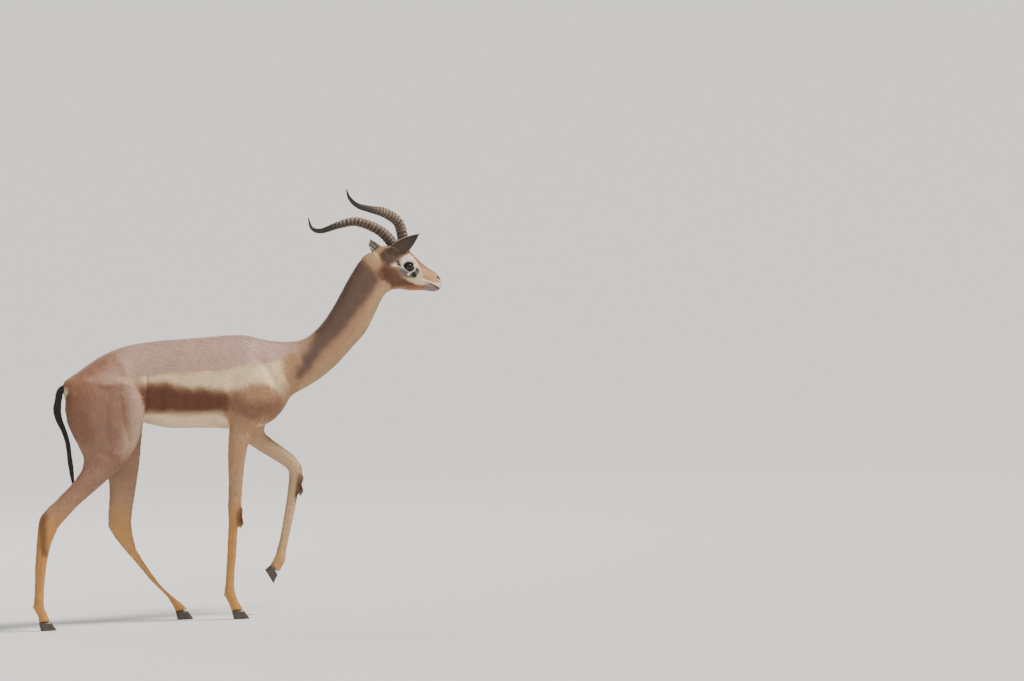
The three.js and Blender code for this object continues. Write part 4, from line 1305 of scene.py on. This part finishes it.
def ear(side):
    word = "right" if side == RIGHT else "left"
    base, end = head_place(side, EAR_BASE), head_place(side, EAR_TIPS[side])
    axis = end - base
    length = np.linalg.norm(axis)
    axis /= length
    outward = head_place(side, [0, 1, 0]) - head_place(side, [0, 0, 0])
    across = np.cross(axis, outward)
    across /= np.linalg.norm(across)
    back = np.cross(across, axis)
    rings, half = 64, 28
    points, to_tip, round_it, cup = [], [], [], []
    for i in range(rings):
        share = -0.10 + 1.10 * i / (rings - 1)
        held = max(share, 0.0)
        width = EAR_WIDTH / 2 * math.sin(math.pi * (0.16 + 0.83 * held)) ** 0.9 - 0.5
        roll = 2.3 + (0.7 - 2.3) * min(1, held * 1.5)
        bend = width / math.sin(min(roll, math.pi / 2))
        thick = max(EAR_THICKNESS * (1 - 0.6 * held) - 0.9, 0.8) * (1 - 0.5 * smooth(0.9, 1.0, share))
        middle = base + axis * share * length
        for radius, inner in ((bend, 0), (max(bend - thick, 0.6), 1)):
            line = np.linspace(-1, 1, half)
            line = line if inner == 0 else line[::-1]
            curl = 1.1 * smooth(0.8, 1.0, np.abs(line)) * smooth(0, 0.3, held)
            ridge = 0.35 * np.sin(line * 11) * smooth(0.95, 0.5, held) * (1 - line**2)
            r = radius - curl + (ridge if inner else 0)
            angle = roll * line
            off_side, off_back = r * np.sin(angle), r * np.cos(angle) - bend
            points.append(middle + (across * off_side[:, None] + back * off_back[:, None]) / 1000)
            to_tip += [share] * half
            round_it += list(line)
            cup += [inner] * half
    points = np.vstack(points)
    piece = new_piece("leaf_ear_" + word, points, tube_faces(rings, half * 2))
    # Halfway up, in the middle of the outer face, the surface must look backwards.
    if normals_of(piece.data)[rings // 2 * half * 2 + half // 2] @ back < 0:
        piece.data.flip_normals()
    to_tip, round_it, cup = map(np.array, (to_tip, round_it, cup))
    layers = (points, normals_of(piece.data), to_tip, round_it, cup)
    EAR_GRIDS[side] = [layer.reshape(rings, half * 2, -1) for layer in layers]
    edge = smooth(0.86, 0.97, np.abs(round_it))
    mask(piece.data, "ear_tip", smooth(0.35, 0.95, to_tip))
    mask(piece.data, "ear_cup", cup * (1 - edge))
    mask(piece.data, "ear_edge", edge * smooth(0.95, 0.8, to_tip))
    lines = smooth(0.55, 0.9, np.cos(round_it * 9.0)) * smooth(0.15, 0.4, to_tip)
    mask(piece.data, "ear_lines", cup * lines)
    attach(piece, "root")
    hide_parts("ear_" + word)
    return piece


ears = [ear(side) for side in (LEFT, RIGHT)]

made, tree, shader = material("ear_pelt", rough=0.7, Sheen_Weight=0.08)
last = None
for name, low, high in [
    ("ear_tip", rgb(0.060, 0.035, 0.024), rgb(0.014, 0.011, 0.009)),
    # the cup's own pale colour darkened with painted shade
    ("ear_cup", None, rgb(0.22, 0.180, 0.150)),
    ("ear_lines", None, rgb(0.030, 0.024, 0.020)),
    ("ear_edge", None, rgb(0.50, 0.40, 0.28)),
]:
    where = node(tree, "ShaderNodeAttribute", attribute_name=name)
    layer = node(tree, "ShaderNodeMix", data_type="RGBA")
    tree.links.new(where.outputs["Fac"], layer.inputs[0])
    if last is None:
        layer.inputs[6].default_value = low
    else:
        tree.links.new(last, layer.inputs[6])
    layer.inputs[7].default_value = high
    last = layer.outputs[2]
patchy = place_group(tree, uneven, colour=last, scale=260.0, depth=0.45)
tree.links.new(patchy.outputs[0], shader.inputs["Base Color"])
grain = place_group(tree, nap, fineness=900.0, stretch=0.4)
bump = node(tree, "ShaderNodeBump", {"Height": grain.outputs[0]}, Strength=0.6, Distance=0.0006)
tree.links.new(bump.outputs[0], shader.inputs["Normal"])
EAR_PELT = made
for piece in ears:
    piece.data.materials.append(EAR_PELT)
print("ears done")

# %% [markdown]
# ## Hooves
# Each foot stands on two narrow pointed hooves. The wall is ribbed with growth lines and bulges a
# little, the top edge rolls into the skin, and the sole stays flat on the floor where the solid's is.
# They keep the solid's frame: toe, width and lift.

# %% Build the hooves
# For each foot: its middle as x and z, how far it stands to the side, and its tip forward in degrees.
FEET = {
    "hind_right": ((-366, 0), -72, 0.0),
    "hind_left": ((130, 0), 71, 0.0),
    "fore_right": ((328, 0), -60, 0.0),
    "fore_left": ((440, 136), 57, 62.0),
}
HOOF_LENGTH, HOOF_WIDTH, HOOF_HEIGHT, HOOF_SPLIT = 58.0, 19.0, 30.0, 10.5


def hoof(foot, side):
    (toe_x, toe_z), toe_y, lift = FEET[foot]
    rings, sides = 26, 44
    angle = np.linspace(0, 2 * np.pi, sides, endpoint=False)
    points = []
    for i in range(rings):
        up_share = i / (rings - 1)
        length = HOOF_LENGTH * (1 - 0.25 * up_share)
        shift = -HOOF_LENGTH * 0.22 * up_share
        width = HOOF_WIDTH * (1 - 0.12 * up_share)
        taper = 1 - 0.35 * np.maximum(0, np.cos(angle))
        growth = 0.22 * np.sin(up_share * 46 + 0.6 * np.sin(angle * 2)) * smooth(0.02, 0.1, up_share) - 0.35
        roll = -1.6 * smooth(0.86, 1.0, up_share) + 0.7 * np.exp(-(((up_share - 0.84) / 0.05) ** 2))
        grow = 1 + (growth + roll) / (width / 2)
        x = shift + length / 2 * np.cos(angle) * (1 + (growth + roll) / (length / 2))
        y = width / 2 * taper * np.sin(angle) * grow
        points.append(np.stack([x, y, np.full(sides, HOOF_HEIGHT * up_share)], 1))
    points = np.vstack(points)
    points[:, 1] += side * HOOF_SPLIT
    spin = np.array(Matrix.Rotation(math.radians(lift), 3, "Y"))
    points = points @ spin.T + (toe_x, toe_y, toe_z)
    word = "left" if side == LEFT else "right"
    piece = new_piece("toe_" + foot + "_" + word, place(points), tube_faces(rings, sides))
    piece.data.materials.append(HOOF_HORN)
    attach(piece, "root")
    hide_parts(foot + "_hoof_" + word)
    return piece


hooves = [hoof(foot, side) for foot in FEET for side in (LEFT, RIGHT)]
print("hooves:", len(hooves))

# %% [markdown]
# ## Tail
# The tail is a thin dock wrapped in black hair that ends in a wisp. A swept rod is its core, and over
# two thousand tapering hairs lie along it, longer towards the end, with a few that stand off loosely.

# %% Locks
# A row of the tail is x, z and its half width, in millimetres.
TAIL = [(-245, 868, 12), (-274, 852, 11), (-284, 820, 11), (-290, 785, 12), (-286, 750, 10)]
TAIL += [(-272, 712, 8), (-260, 670, 7), (-256, 620, 7), (-252, 570, 7), (-249, 535, 5)]
TAIL_LOCKS, LASHES = 2400, 44
SPOT = 0.003  # how wide one hair's spot is on the map of the skin, which is 1 wide


def locks(name, paths, wide, sides, finish, spots):
    """One piece of many tapering hairs: paths is (locks, points, 3), wide the half width of each at its
    root, spots the place of each root on the map of the skin."""
    count, steps, _ = paths.shape
    share = np.linspace(0, 1, steps)
    tangent = np.gradient(paths, axis=1)
    tangent /= np.linalg.norm(tangent, axis=2)[..., None].clip(1e-9)
    guide = np.where(np.abs(tangent[..., 1:2]) < 0.9, [[[0, 1.0, 0]]], [[[1.0, 0, 0]]])
    normal = np.cross(tangent, guide)
    normal /= np.linalg.norm(normal, axis=2)[..., None].clip(1e-9)
    side = np.cross(tangent, normal)
    half = wide[:, None] * (1 - share[None, :] ** 1.8) + 0.00005
    angle = np.linspace(0, 2 * np.pi, sides, endpoint=False)
    ring = normal[:, :, None] * np.cos(angle)[:, None] + side[:, :, None] * np.sin(angle)[:, None]
    points = (paths[:, :, None] + ring * half[:, :, None, None]).reshape(-1, 3)
    one = np.array(tube_faces(steps, sides, caps=False))
    faces = (one[None] + (np.arange(count) * steps * sides)[:, None, None]).reshape(-1, 4)
    piece = new_piece(name, points, faces)
    patch = np.stack(np.meshgrid(angle / (2 * np.pi), share), -1) * SPOT
    uv = (spots[:, None, None] + patch[None]).reshape(-1, 2)
    used = np.empty(len(piece.data.loops), np.int32)
    piece.data.loops.foreach_get("vertex_index", used)
    layer = piece.data.uv_layers.new(name="OFBake")
    layer.data.foreach_set("uv", uv[used].astype(np.float32).ravel())
    piece.data.materials.append(finish)
    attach(piece, "root")
    return piece


def tail():
    rows = np.array(TAIL, float)
    path = place(np.stack([rows[:, 0], np.zeros(len(rows)), rows[:, 1]], 1))
    rings, sides = 120, 24
    made, tangent, length = curve(np.hstack([path, rows[:, 2:] / 1000]), rings)
    core = rod(made[:, :3], made[:, 3] * 0.62, made[:, 3] * 0.62, sides)
    core = new_piece("tail_core", core, tube_faces(rings, sides))
    core.data.materials.append(BLACK_HAIR)
    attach(core, "root")
    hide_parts("tail")
    dice = np.random.default_rng(5)
    normal, across = frames_along(tangent)
    count, steps = TAIL_LOCKS, 6
    begin = dice.uniform(0, 0.93, count)
    turn = dice.uniform(0, 2 * np.pi, count)
    long = (0.045 + 0.05 * begin) * dice.uniform(0.7, 1.2, count)
    loose = dice.uniform(0.9, 1.0, count) + 0.7 * dice.random(count) ** 6
    paths = np.empty((count, steps, 3))
    for k in range(steps):
        share = begin + (k / (steps - 1)) * long / length
        over = np.clip(share - 1, 0, None) * length
        spot = np.clip(share, 0, 1) * (rings - 1)
        i = np.clip(spot.astype(int), 0, rings - 2)
        f = (spot - i)[:, None]
        centre = made[i, :3] * (1 - f) + made[i + 1, :3] * f
        centre = centre + tangent[i] * over[:, None]
        half = made[i, 3] * (0.66 + 0.34 * np.sin(np.pi * min(k / (steps - 1) + 0.1, 1)))
        half = half * (1 - 0.75 * np.clip(over / 0.05, 0, 1)) * (1 + (loose - 1) * k / (steps - 1))
        out = normal[i] * np.cos(turn)[:, None] + across[i] * np.sin(turn)[:, None]
        paths[:, k] = centre + out * half[:, None]
    spots = np.stack([0.903 + 0.09 * begin, 0.163 + 0.08 * turn / (2 * np.pi)], 1)
    return [core, locks("tail_hair", paths, dice.uniform(0.0005, 0.0012, count), 3, BLACK_HAIR, spots)]


tail_core, tail_hair = tail()
print("tail:", len(tail_core.data.polygons), "faces in the core,", len(tail_hair.data.polygons), "in the hair")

# %% [markdown]
# An antelope's lashes are long and stiff. They stand in one row on the upper lid's wet edge, fan out
# forwards and backwards, and curl up at their ends.


# %% Lashes
def lashes(side):
    centre, out, front, rise = SOCKETS[side]
    dice = np.random.default_rng(41)
    count, steps = LASHES, 6
    turn = np.linspace(0.12 * np.pi, 0.92 * np.pi, count) + dice.normal(0, 0.02, count)
    x, y = 16.8 * np.cos(turn), 12.8 * np.sin(turn) - 0.6
    lift = np.sqrt(np.clip(EYE_RADIUS**2 - x**2 - y**2, 4, None)) + 1.6
    start = centre + (x[:, None] * front + y[:, None] * rise + lift[:, None] * out) / 1000
    away = 0.85 * out + 0.25 * rise + 0.55 * np.cos(turn)[:, None] * front
    away /= np.linalg.norm(away, axis=1)[:, None]
    long = (0.0065 + 0.0025 * dice.random(count))[:, None]
    share = np.linspace(0, 1, steps)[:, None, None]
    paths = start + away * long * share + rise * long * 0.55 * share**2
    word = "right" if side == RIGHT else "left"
    spots = np.tile([0.6, 0.3], (count, 1))
    thin = np.full(count, 0.00028)
    return locks("lashes_" + word, paths.transpose(1, 0, 2), thin, 3, BLACK_HAIR, spots)


lash_pieces = [lashes(side) for side in (LEFT, RIGHT)]
print("lashes:", sum(len(piece.data.polygons) for piece in lash_pieces), "faces")

# %% [markdown]
# ## Coat
# The hair is short and lies flat, so from afar it is a sheen and a fine grain, and only close by, or
# along the outline, are single tufts seen. Each tuft is a thin solid blade of ten faces. Roots are
# scattered over the skin's faces by area. The hair runs from nose to tail and down the legs: each part's
# long axis is laid flat on the skin and then evened out, so the streams of neighbouring parts join.

# %% Which way the hair lies
lie = np.array([AXES[p][1] for p in skin_part])
for _ in range(25):
    lie = neighbour_mean(lie, skin_pairs)
    lie -= (lie * skin_normals).sum(1)[:, None] * skin_normals
    lie /= np.linalg.norm(lie, axis=1)[:, None].clip(1e-6)
skin.data.calc_loop_triangles()
skin_tri = np.empty(len(skin.data.loop_triangles) * 3, np.int32)
skin.data.loop_triangles.foreach_get("vertices", skin_tri)
skin_tri = skin_tri.reshape(-1, 3)
corner = skin_points[skin_tri]
edge_one, edge_two = corner[:, 1] - corner[:, 0], corner[:, 2] - corner[:, 0]
tri_area = 0.5 * np.linalg.norm(np.cross(edge_one, edge_two), axis=1)
tri_part = skin_part[skin_tri[:, 0]]
print("skin area", round(tri_area.sum(), 2), "m2")

# %% [markdown]
# For the export each tuft needs a small spot of its own on a map of the skin. The map is cut by
# body part. In each part's rectangle one way is the length along the part and the other is the turn
# around it. The ears and the tail have small rectangles of their own beside the neck's.

# %% A map of the skin
CELLS = {"torso": (0, 0, 0.5, 0.5), "neck": (0.5, 0, 0.4, 0.25), "head": (0.5, 0.25, 0.5, 0.25)}
EAR_CELLS = {RIGHT: (0.903, 0.003), LEFT: (0.903, 0.083)}
for order, name in enumerate(n for n in FLESH if n not in CELLS):
    CELLS[name] = ((order % 8) / 8, 0.5 + 0.25 * (order // 8), 0.125, 0.25)


def on_map(points, labels):
    uv = np.zeros((len(points), 2))
    for name in FLESH:
        mine = labels == name
        if not mine.any():
            continue
        middle, main, length = AXES[name]
        level = np.cross(main, [0, 1.0, 0])
        level /= np.linalg.norm(level)
        sideways = np.cross(level, main)
        rel = points[mine] - middle
        t = np.clip((rel @ main) / length + 0.5, 0, 1)
        turn = np.arctan2(rel @ sideways, rel @ level) / (2 * np.pi) + 0.5
        x, y, wide, high = CELLS[name]
        uv[mine] = np.stack([x + wide * (0.03 + 0.94 * t), y + high * (0.03 + 0.94 * turn)], 1)
    return uv


print("map cells:", len(CELLS))


# %% [markdown]
# A tuft is made from seven points: a triangle at the root, sunk a little into the skin, a wider one
# almost halfway, and a tip. Each is turned and sized a little by chance, but never leaves its place.


# %% Tufts
def mesh_from_arrays(name, points, tri, uv):
    mesh = bpy.data.meshes.new(name)
    mesh.vertices.add(len(points))
    mesh.vertices.foreach_set("co", points.astype(np.float32).ravel())
    mesh.loops.add(tri.size)
    mesh.loops.foreach_set("vertex_index", tri.astype(np.int32).ravel())
    mesh.polygons.add(len(tri))
    mesh.polygons.foreach_set("loop_start", np.arange(0, tri.size, 3, dtype=np.int32))
    mesh.update(calc_edges=True)
    mesh.validate()
    layer = mesh.uv_layers.new(name="OFBake")
    layer.data.foreach_set("uv", uv[tri.ravel()].astype(np.float32).ravel())
    mesh.shade_smooth()
    piece = bpy.data.objects.new(name, mesh)
    bpy.context.scene.collection.objects.link(piece)
    return piece


def roots_on(chosen, count, dice, density=None):
    weight = tri_area * chosen
    if density is not None:
        weight = weight * density
    pick = dice.choice(len(skin_tri), count, p=weight / weight.sum())
    a, b = dice.random((2, count))
    flip = a + b > 1
    a[flip], b[flip] = 1 - a[flip], 1 - b[flip]
    share = np.stack([1 - a - b, a, b], 1)[:, :, None]
    ids = skin_tri[pick]
    normal = (skin_normals[ids] * share).sum(1)
    way = (lie[ids] * share).sum(1)
    normal /= np.linalg.norm(normal, axis=1)[:, None]
    shades = {name: (values[ids] * share[:, :, 0]).sum(1) for name, values in skin_masks.items()}
    return (corner[pick] * share).sum(1), normal, way, tri_part[pick], shades


# The ten faces of a tuft, where each of its seven points lies in its spot on the map, and how light it is.
TUFT_FACES = [(0, 1, 4), (0, 4, 3), (1, 2, 5), (1, 5, 4), (2, 0, 3), (2, 3, 5)]
TUFT_FACES += [(3, 4, 6), (4, 5, 6), (5, 3, 6), (0, 2, 1)]
TUFT_SPOT = [(0, 0), (1, 0), (0.5, 0.3), (0, 0.5), (1, 0.5), (0.5, 0.6), (0.5, 1)]
TUFT_TONE = [0.90, 0.90, 0.92, 1.0, 1.0, 1.0, 1.06]


def tufts(name, dice, root, normal, way, spots, shades, long, wide, lift, sunk=0.0006):
    """One tuft at each root, lying the given way. long, wide and lift are metres, one or one for each."""
    count = len(root)
    way = way - (way * normal).sum(1)[:, None] * normal
    way /= np.linalg.norm(way, axis=1)[:, None].clip(1e-6)
    across = np.cross(normal, way)
    stray = dice.normal(0, 0.16, count)[:, None]
    way = way * np.cos(stray) + across * np.sin(stray)
    across = np.cross(normal, way)
    size = dice.uniform(0.75, 1.25, count)[:, None]
    long, wide = long * size, wide * dice.uniform(0.8, 1.2, count)[:, None]
    lift = lift * dice.uniform(0.4, 1.5, count)[:, None]
    rows = []
    for t, w, h in ((0.0, 0.75, -sunk), (0.45, 1.0, 0.62)):
        middle = root + way * long * t + normal * (h if t == 0 else lift * h)
        half = wide * 0.5 * w
        rows += [middle - across * half, middle + across * half, middle + normal * half * 0.7]
    rows.append(root + way * long + normal * lift)
    points = np.stack(rows, 1)
    tri = (np.array(TUFT_FACES)[None] + 7 * np.arange(count)[:, None, None]).reshape(-1, 3)
    spot = np.array(TUFT_SPOT) * SPOT
    uv = (spots[:, None] + spot[None]).reshape(-1, 2)
    piece = mesh_from_arrays(name, points.reshape(-1, 3), tri, uv)
    for key, values in shades.items():
        mask(piece.data, key, np.repeat(values, 7))
    # A tuft is lit like the skin it lies on, turned only a little by its own round back.
    to_side = np.array([-0.35, 0.35, 0, -0.35, 0.35, 0, 0])[None, :, None]
    to_tip = np.array([-0.1, -0.1, -0.1, 0, 0, 0, 0.15])[None, :, None]
    facing = normal[:, None] + across[:, None] * to_side
    facing = facing + way[:, None] * to_tip
    facing /= np.linalg.norm(facing, axis=2)[..., None]
    piece.data.normals_split_custom_set_from_vertices(facing.reshape(-1, 3).tolist())
    tone = dice.normal(1.0, 0.075, count).clip(0.75, 1.25)
    mask(piece.data, "shade", (tone[:, None] * np.array(TUFT_TONE)).ravel())
    piece.data.materials.append(TUFT_PELT)
    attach(piece, "root")
    return piece


def coat(name, chosen, count, long, wide, lift, seed, density=None):
    """Tufts on the chosen faces of the skin. long and wide may be asked of a function of the roots."""
    dice = np.random.default_rng(seed)
    root, normal, way, labels, shades = roots_on(chosen, count, dice, density)
    long, wide = (v(root, labels)[:, None] if callable(v) else v for v in (long, wide))
    return tufts(name, dice, root, normal, way, on_map(root, labels), shades, long, wide, lift)


def is_part(*words):
    """Which faces of the skin lie on a part with one of the words in its name."""
    found, back = np.unique(tri_part, return_inverse=True)
    return has_word(found, *words)[back]


print("faces of the legs:", int(is_part("gaskin", "forearm", "cannon", "pastern").sum()))

# %% [markdown]
# The tufts are longest on the trunk and nape, shorter on the legs, and shortest on the face, where they
# shrink to two or three millimetres at the nose. Eyes, nostrils and the line of the mouth stay bare.

# %% Where the face stays bare
face_middle = head_drawing(corner.mean(1))
bare = np.hypot((face_middle[:, 0] - 89) / 1.15, face_middle[:, 2] - 1) < 15.5
bare |= (face_middle[:, 0] > 196) & (np.hypot(face_middle[:, 0] - 210, face_middle[:, 2] + 43) < 6)
MOUTH_LINE = [(140, -52), (152, -54.5), (168, -60), (184, -69), (204, -80), (218, -87)]
bare |= along(face_middle[:, [0, 2]], MOUTH_LINE)[0] < 2.0
print("bare faces:", int(bare.sum()))

# %% [markdown]
# The coat is laid in eight pieces, which keeps each one small enough to handle. Lengths and widths are
# one value for a piece, or a function of the root where they change along it, as on the face.


# %% Lay the coat
def face_length(root, labels):
    x = head_drawing(root)[:, 0]
    return 0.0095 - 0.0062 * smooth(20, 200, x)


def face_width(root, labels):
    x = head_drawing(root)[:, 0]
    return 0.0011 - 0.0005 * smooth(20, 200, x)


def leg_length(root, labels):
    return 0.0065 + 0.0045 * smooth(0.1, 0.5, root[:, 2])


THIN = 1
TRUNK_TUFTS, NECK_TUFTS = 16500 // THIN, 16500 // THIN
HEAD_TUFTS, LEG_TUFTS = 19800 // THIN, 11500 // THIN
right_half = drawing(corner.mean(1))[:, 1] < 0
rear = corner.mean(1)[:, 0] < -0.19
trunk_faces = is_part("torso", "thigh", "shoulder")
coats = []
for order in range(4):
    half = right_half if order % 2 == 0 else ~right_half
    zone = trunk_faces & half & (rear if order < 2 else ~rear)
    coats.append(coat(f"coat_trunk_{order + 1}", zone, TRUNK_TUFTS, 0.0150, 0.0018, 0.0011, 20 + order))
coats.append(coat("coat_neck", is_part("neck"), NECK_TUFTS, 0.0130, 0.0014, 0.0010, 30))
head_faces, crowd = is_part("head") & ~bare, 1 + 3.5 * smooth(40, 200, face_middle[:, 0])
coats.append(coat("coat_head", head_faces, HEAD_TUFTS, face_length, face_width, 0.0007, 31, density=crowd))
legs = is_part("gaskin", "forearm", "cannon", "pastern")
coats.append(coat("coat_legs_right", legs & right_half, LEG_TUFTS, leg_length, 0.0012, 0.0007, 32))
coats.append(coat("coat_legs_left", legs & ~right_half, LEG_TUFTS, leg_length, 0.0012, 0.0007, 33))
print("coat triangles:", sum(len(c.data.polygons) for c in coats))

# %% [markdown]
# A few places have longer hair that breaks the outline: a rufous tuft stands between the horns, and
# dark brushes hang on the knees.

# %% Longer hair
BROW_TUFTS, KNEE_TUFTS, EAR_TUFTS = 700 // THIN, 900 // THIN, 3600 // THIN
KNEES = [("right", RIGHT, 350, 372), ("left", LEFT, 576, 468)]  # x and z in the drawing
middle_of = drawing(corner.mean(1))
brow = is_part("head") & (np.hypot(face_middle[:, 0] - 84, face_middle[:, 2] - 56) < 20)
brow &= np.abs(face_middle[:, 1]) < 17
coats.append(coat("brow_tuft", brow, BROW_TUFTS, 0.016, 0.0011, 0.013, 51))
for word, side, knee_x, knee_z in KNEES:
    gap = np.hypot(middle_of[:, 0] - knee_x, 0.5 * (middle_of[:, 2] - knee_z))
    near = legs & (np.sign(middle_of[:, 1]) == side) & (gap < 17)
    coats.append(coat("knee_brush_" + word, near, KNEE_TUFTS, 0.019, 0.0011, 0.0045, 52 + side))
print("brow faces", int(brow.sum()))

# %% [markdown]
# The ears carry fine hair of their own: dark and flat on the back, pale along both edges, and longer
# inside the cup, where pale rows of it run towards the tip.


# %% Coat of the ears
def ear_coat(side, count, seed):
    word = "right" if side == RIGHT else "left"
    grid, normals, to_tip, round_it, cup = EAR_GRIDS[side]
    dice = np.random.default_rng(seed)
    girth = np.linalg.norm(np.diff(grid, axis=1), axis=2).sum(1)[:-1]
    i = dice.choice(len(girth), count, p=girth / girth.sum())
    j = dice.integers(0, grid.shape[1] - 1, count)
    a, b = dice.random((2, count, 1))
    one_side = grid[i, j] * (1 - a) + grid[i + 1, j] * a
    other_side = grid[i, j + 1] * (1 - a) + grid[i + 1, j + 1] * a
    root = one_side * (1 - b) + other_side * b
    share, around, in_cup = (v[i, j, 0] for v in (to_tip, round_it, cup))
    edge = smooth(0.80, 0.95, np.abs(around)) * smooth(0.97, 0.85, share)
    shades = {key: np.zeros(count) for key in skin_masks}
    shades["ear_stem"] = np.ones(count)
    shades["ear_white"] = np.maximum(edge, 0.35 * in_cup * smooth(-0.2, 0.6, np.cos(around * 9.0)))
    shades["black"] = 0.75 * smooth(0.6, 1.0, share) * (1 - shades["ear_white"])
    long = (0.0048 + 0.004 * in_cup + 0.003 * edge - 0.0015 * share)[:, None]
    lift = (0.0006 + 0.0008 * edge + 0.001 * in_cup)[:, None]
    place_in_cell = np.stack([0.09 * np.clip(share, 0, 1), 0.07 * (j / grid.shape[1])], 1)
    spots = np.array(EAR_CELLS[side]) + place_in_cell
    way, name = grid[i + 1, j] - grid[i, j], "ear_hair_" + word
    return tufts(name, dice, root, normals[i, j], way, spots, shades, long, 0.0008, lift, 0.0003)


coats += [ear_coat(side, EAR_TUFTS, 60 + i) for i, side in enumerate((LEFT, RIGHT))]
print("with the longer hair:", sum(len(c.data.polygons) for c in coats))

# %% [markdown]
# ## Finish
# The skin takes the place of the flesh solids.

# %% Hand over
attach(skin, "root")
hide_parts(*FLESH)
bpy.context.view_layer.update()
shown = [o for o in bpy.data.objects if o.type == "MESH" and not o.hide_render]
print("triangles shown:", sum(len(f.vertices) - 2 for o in shown for f in o.data.polygons))
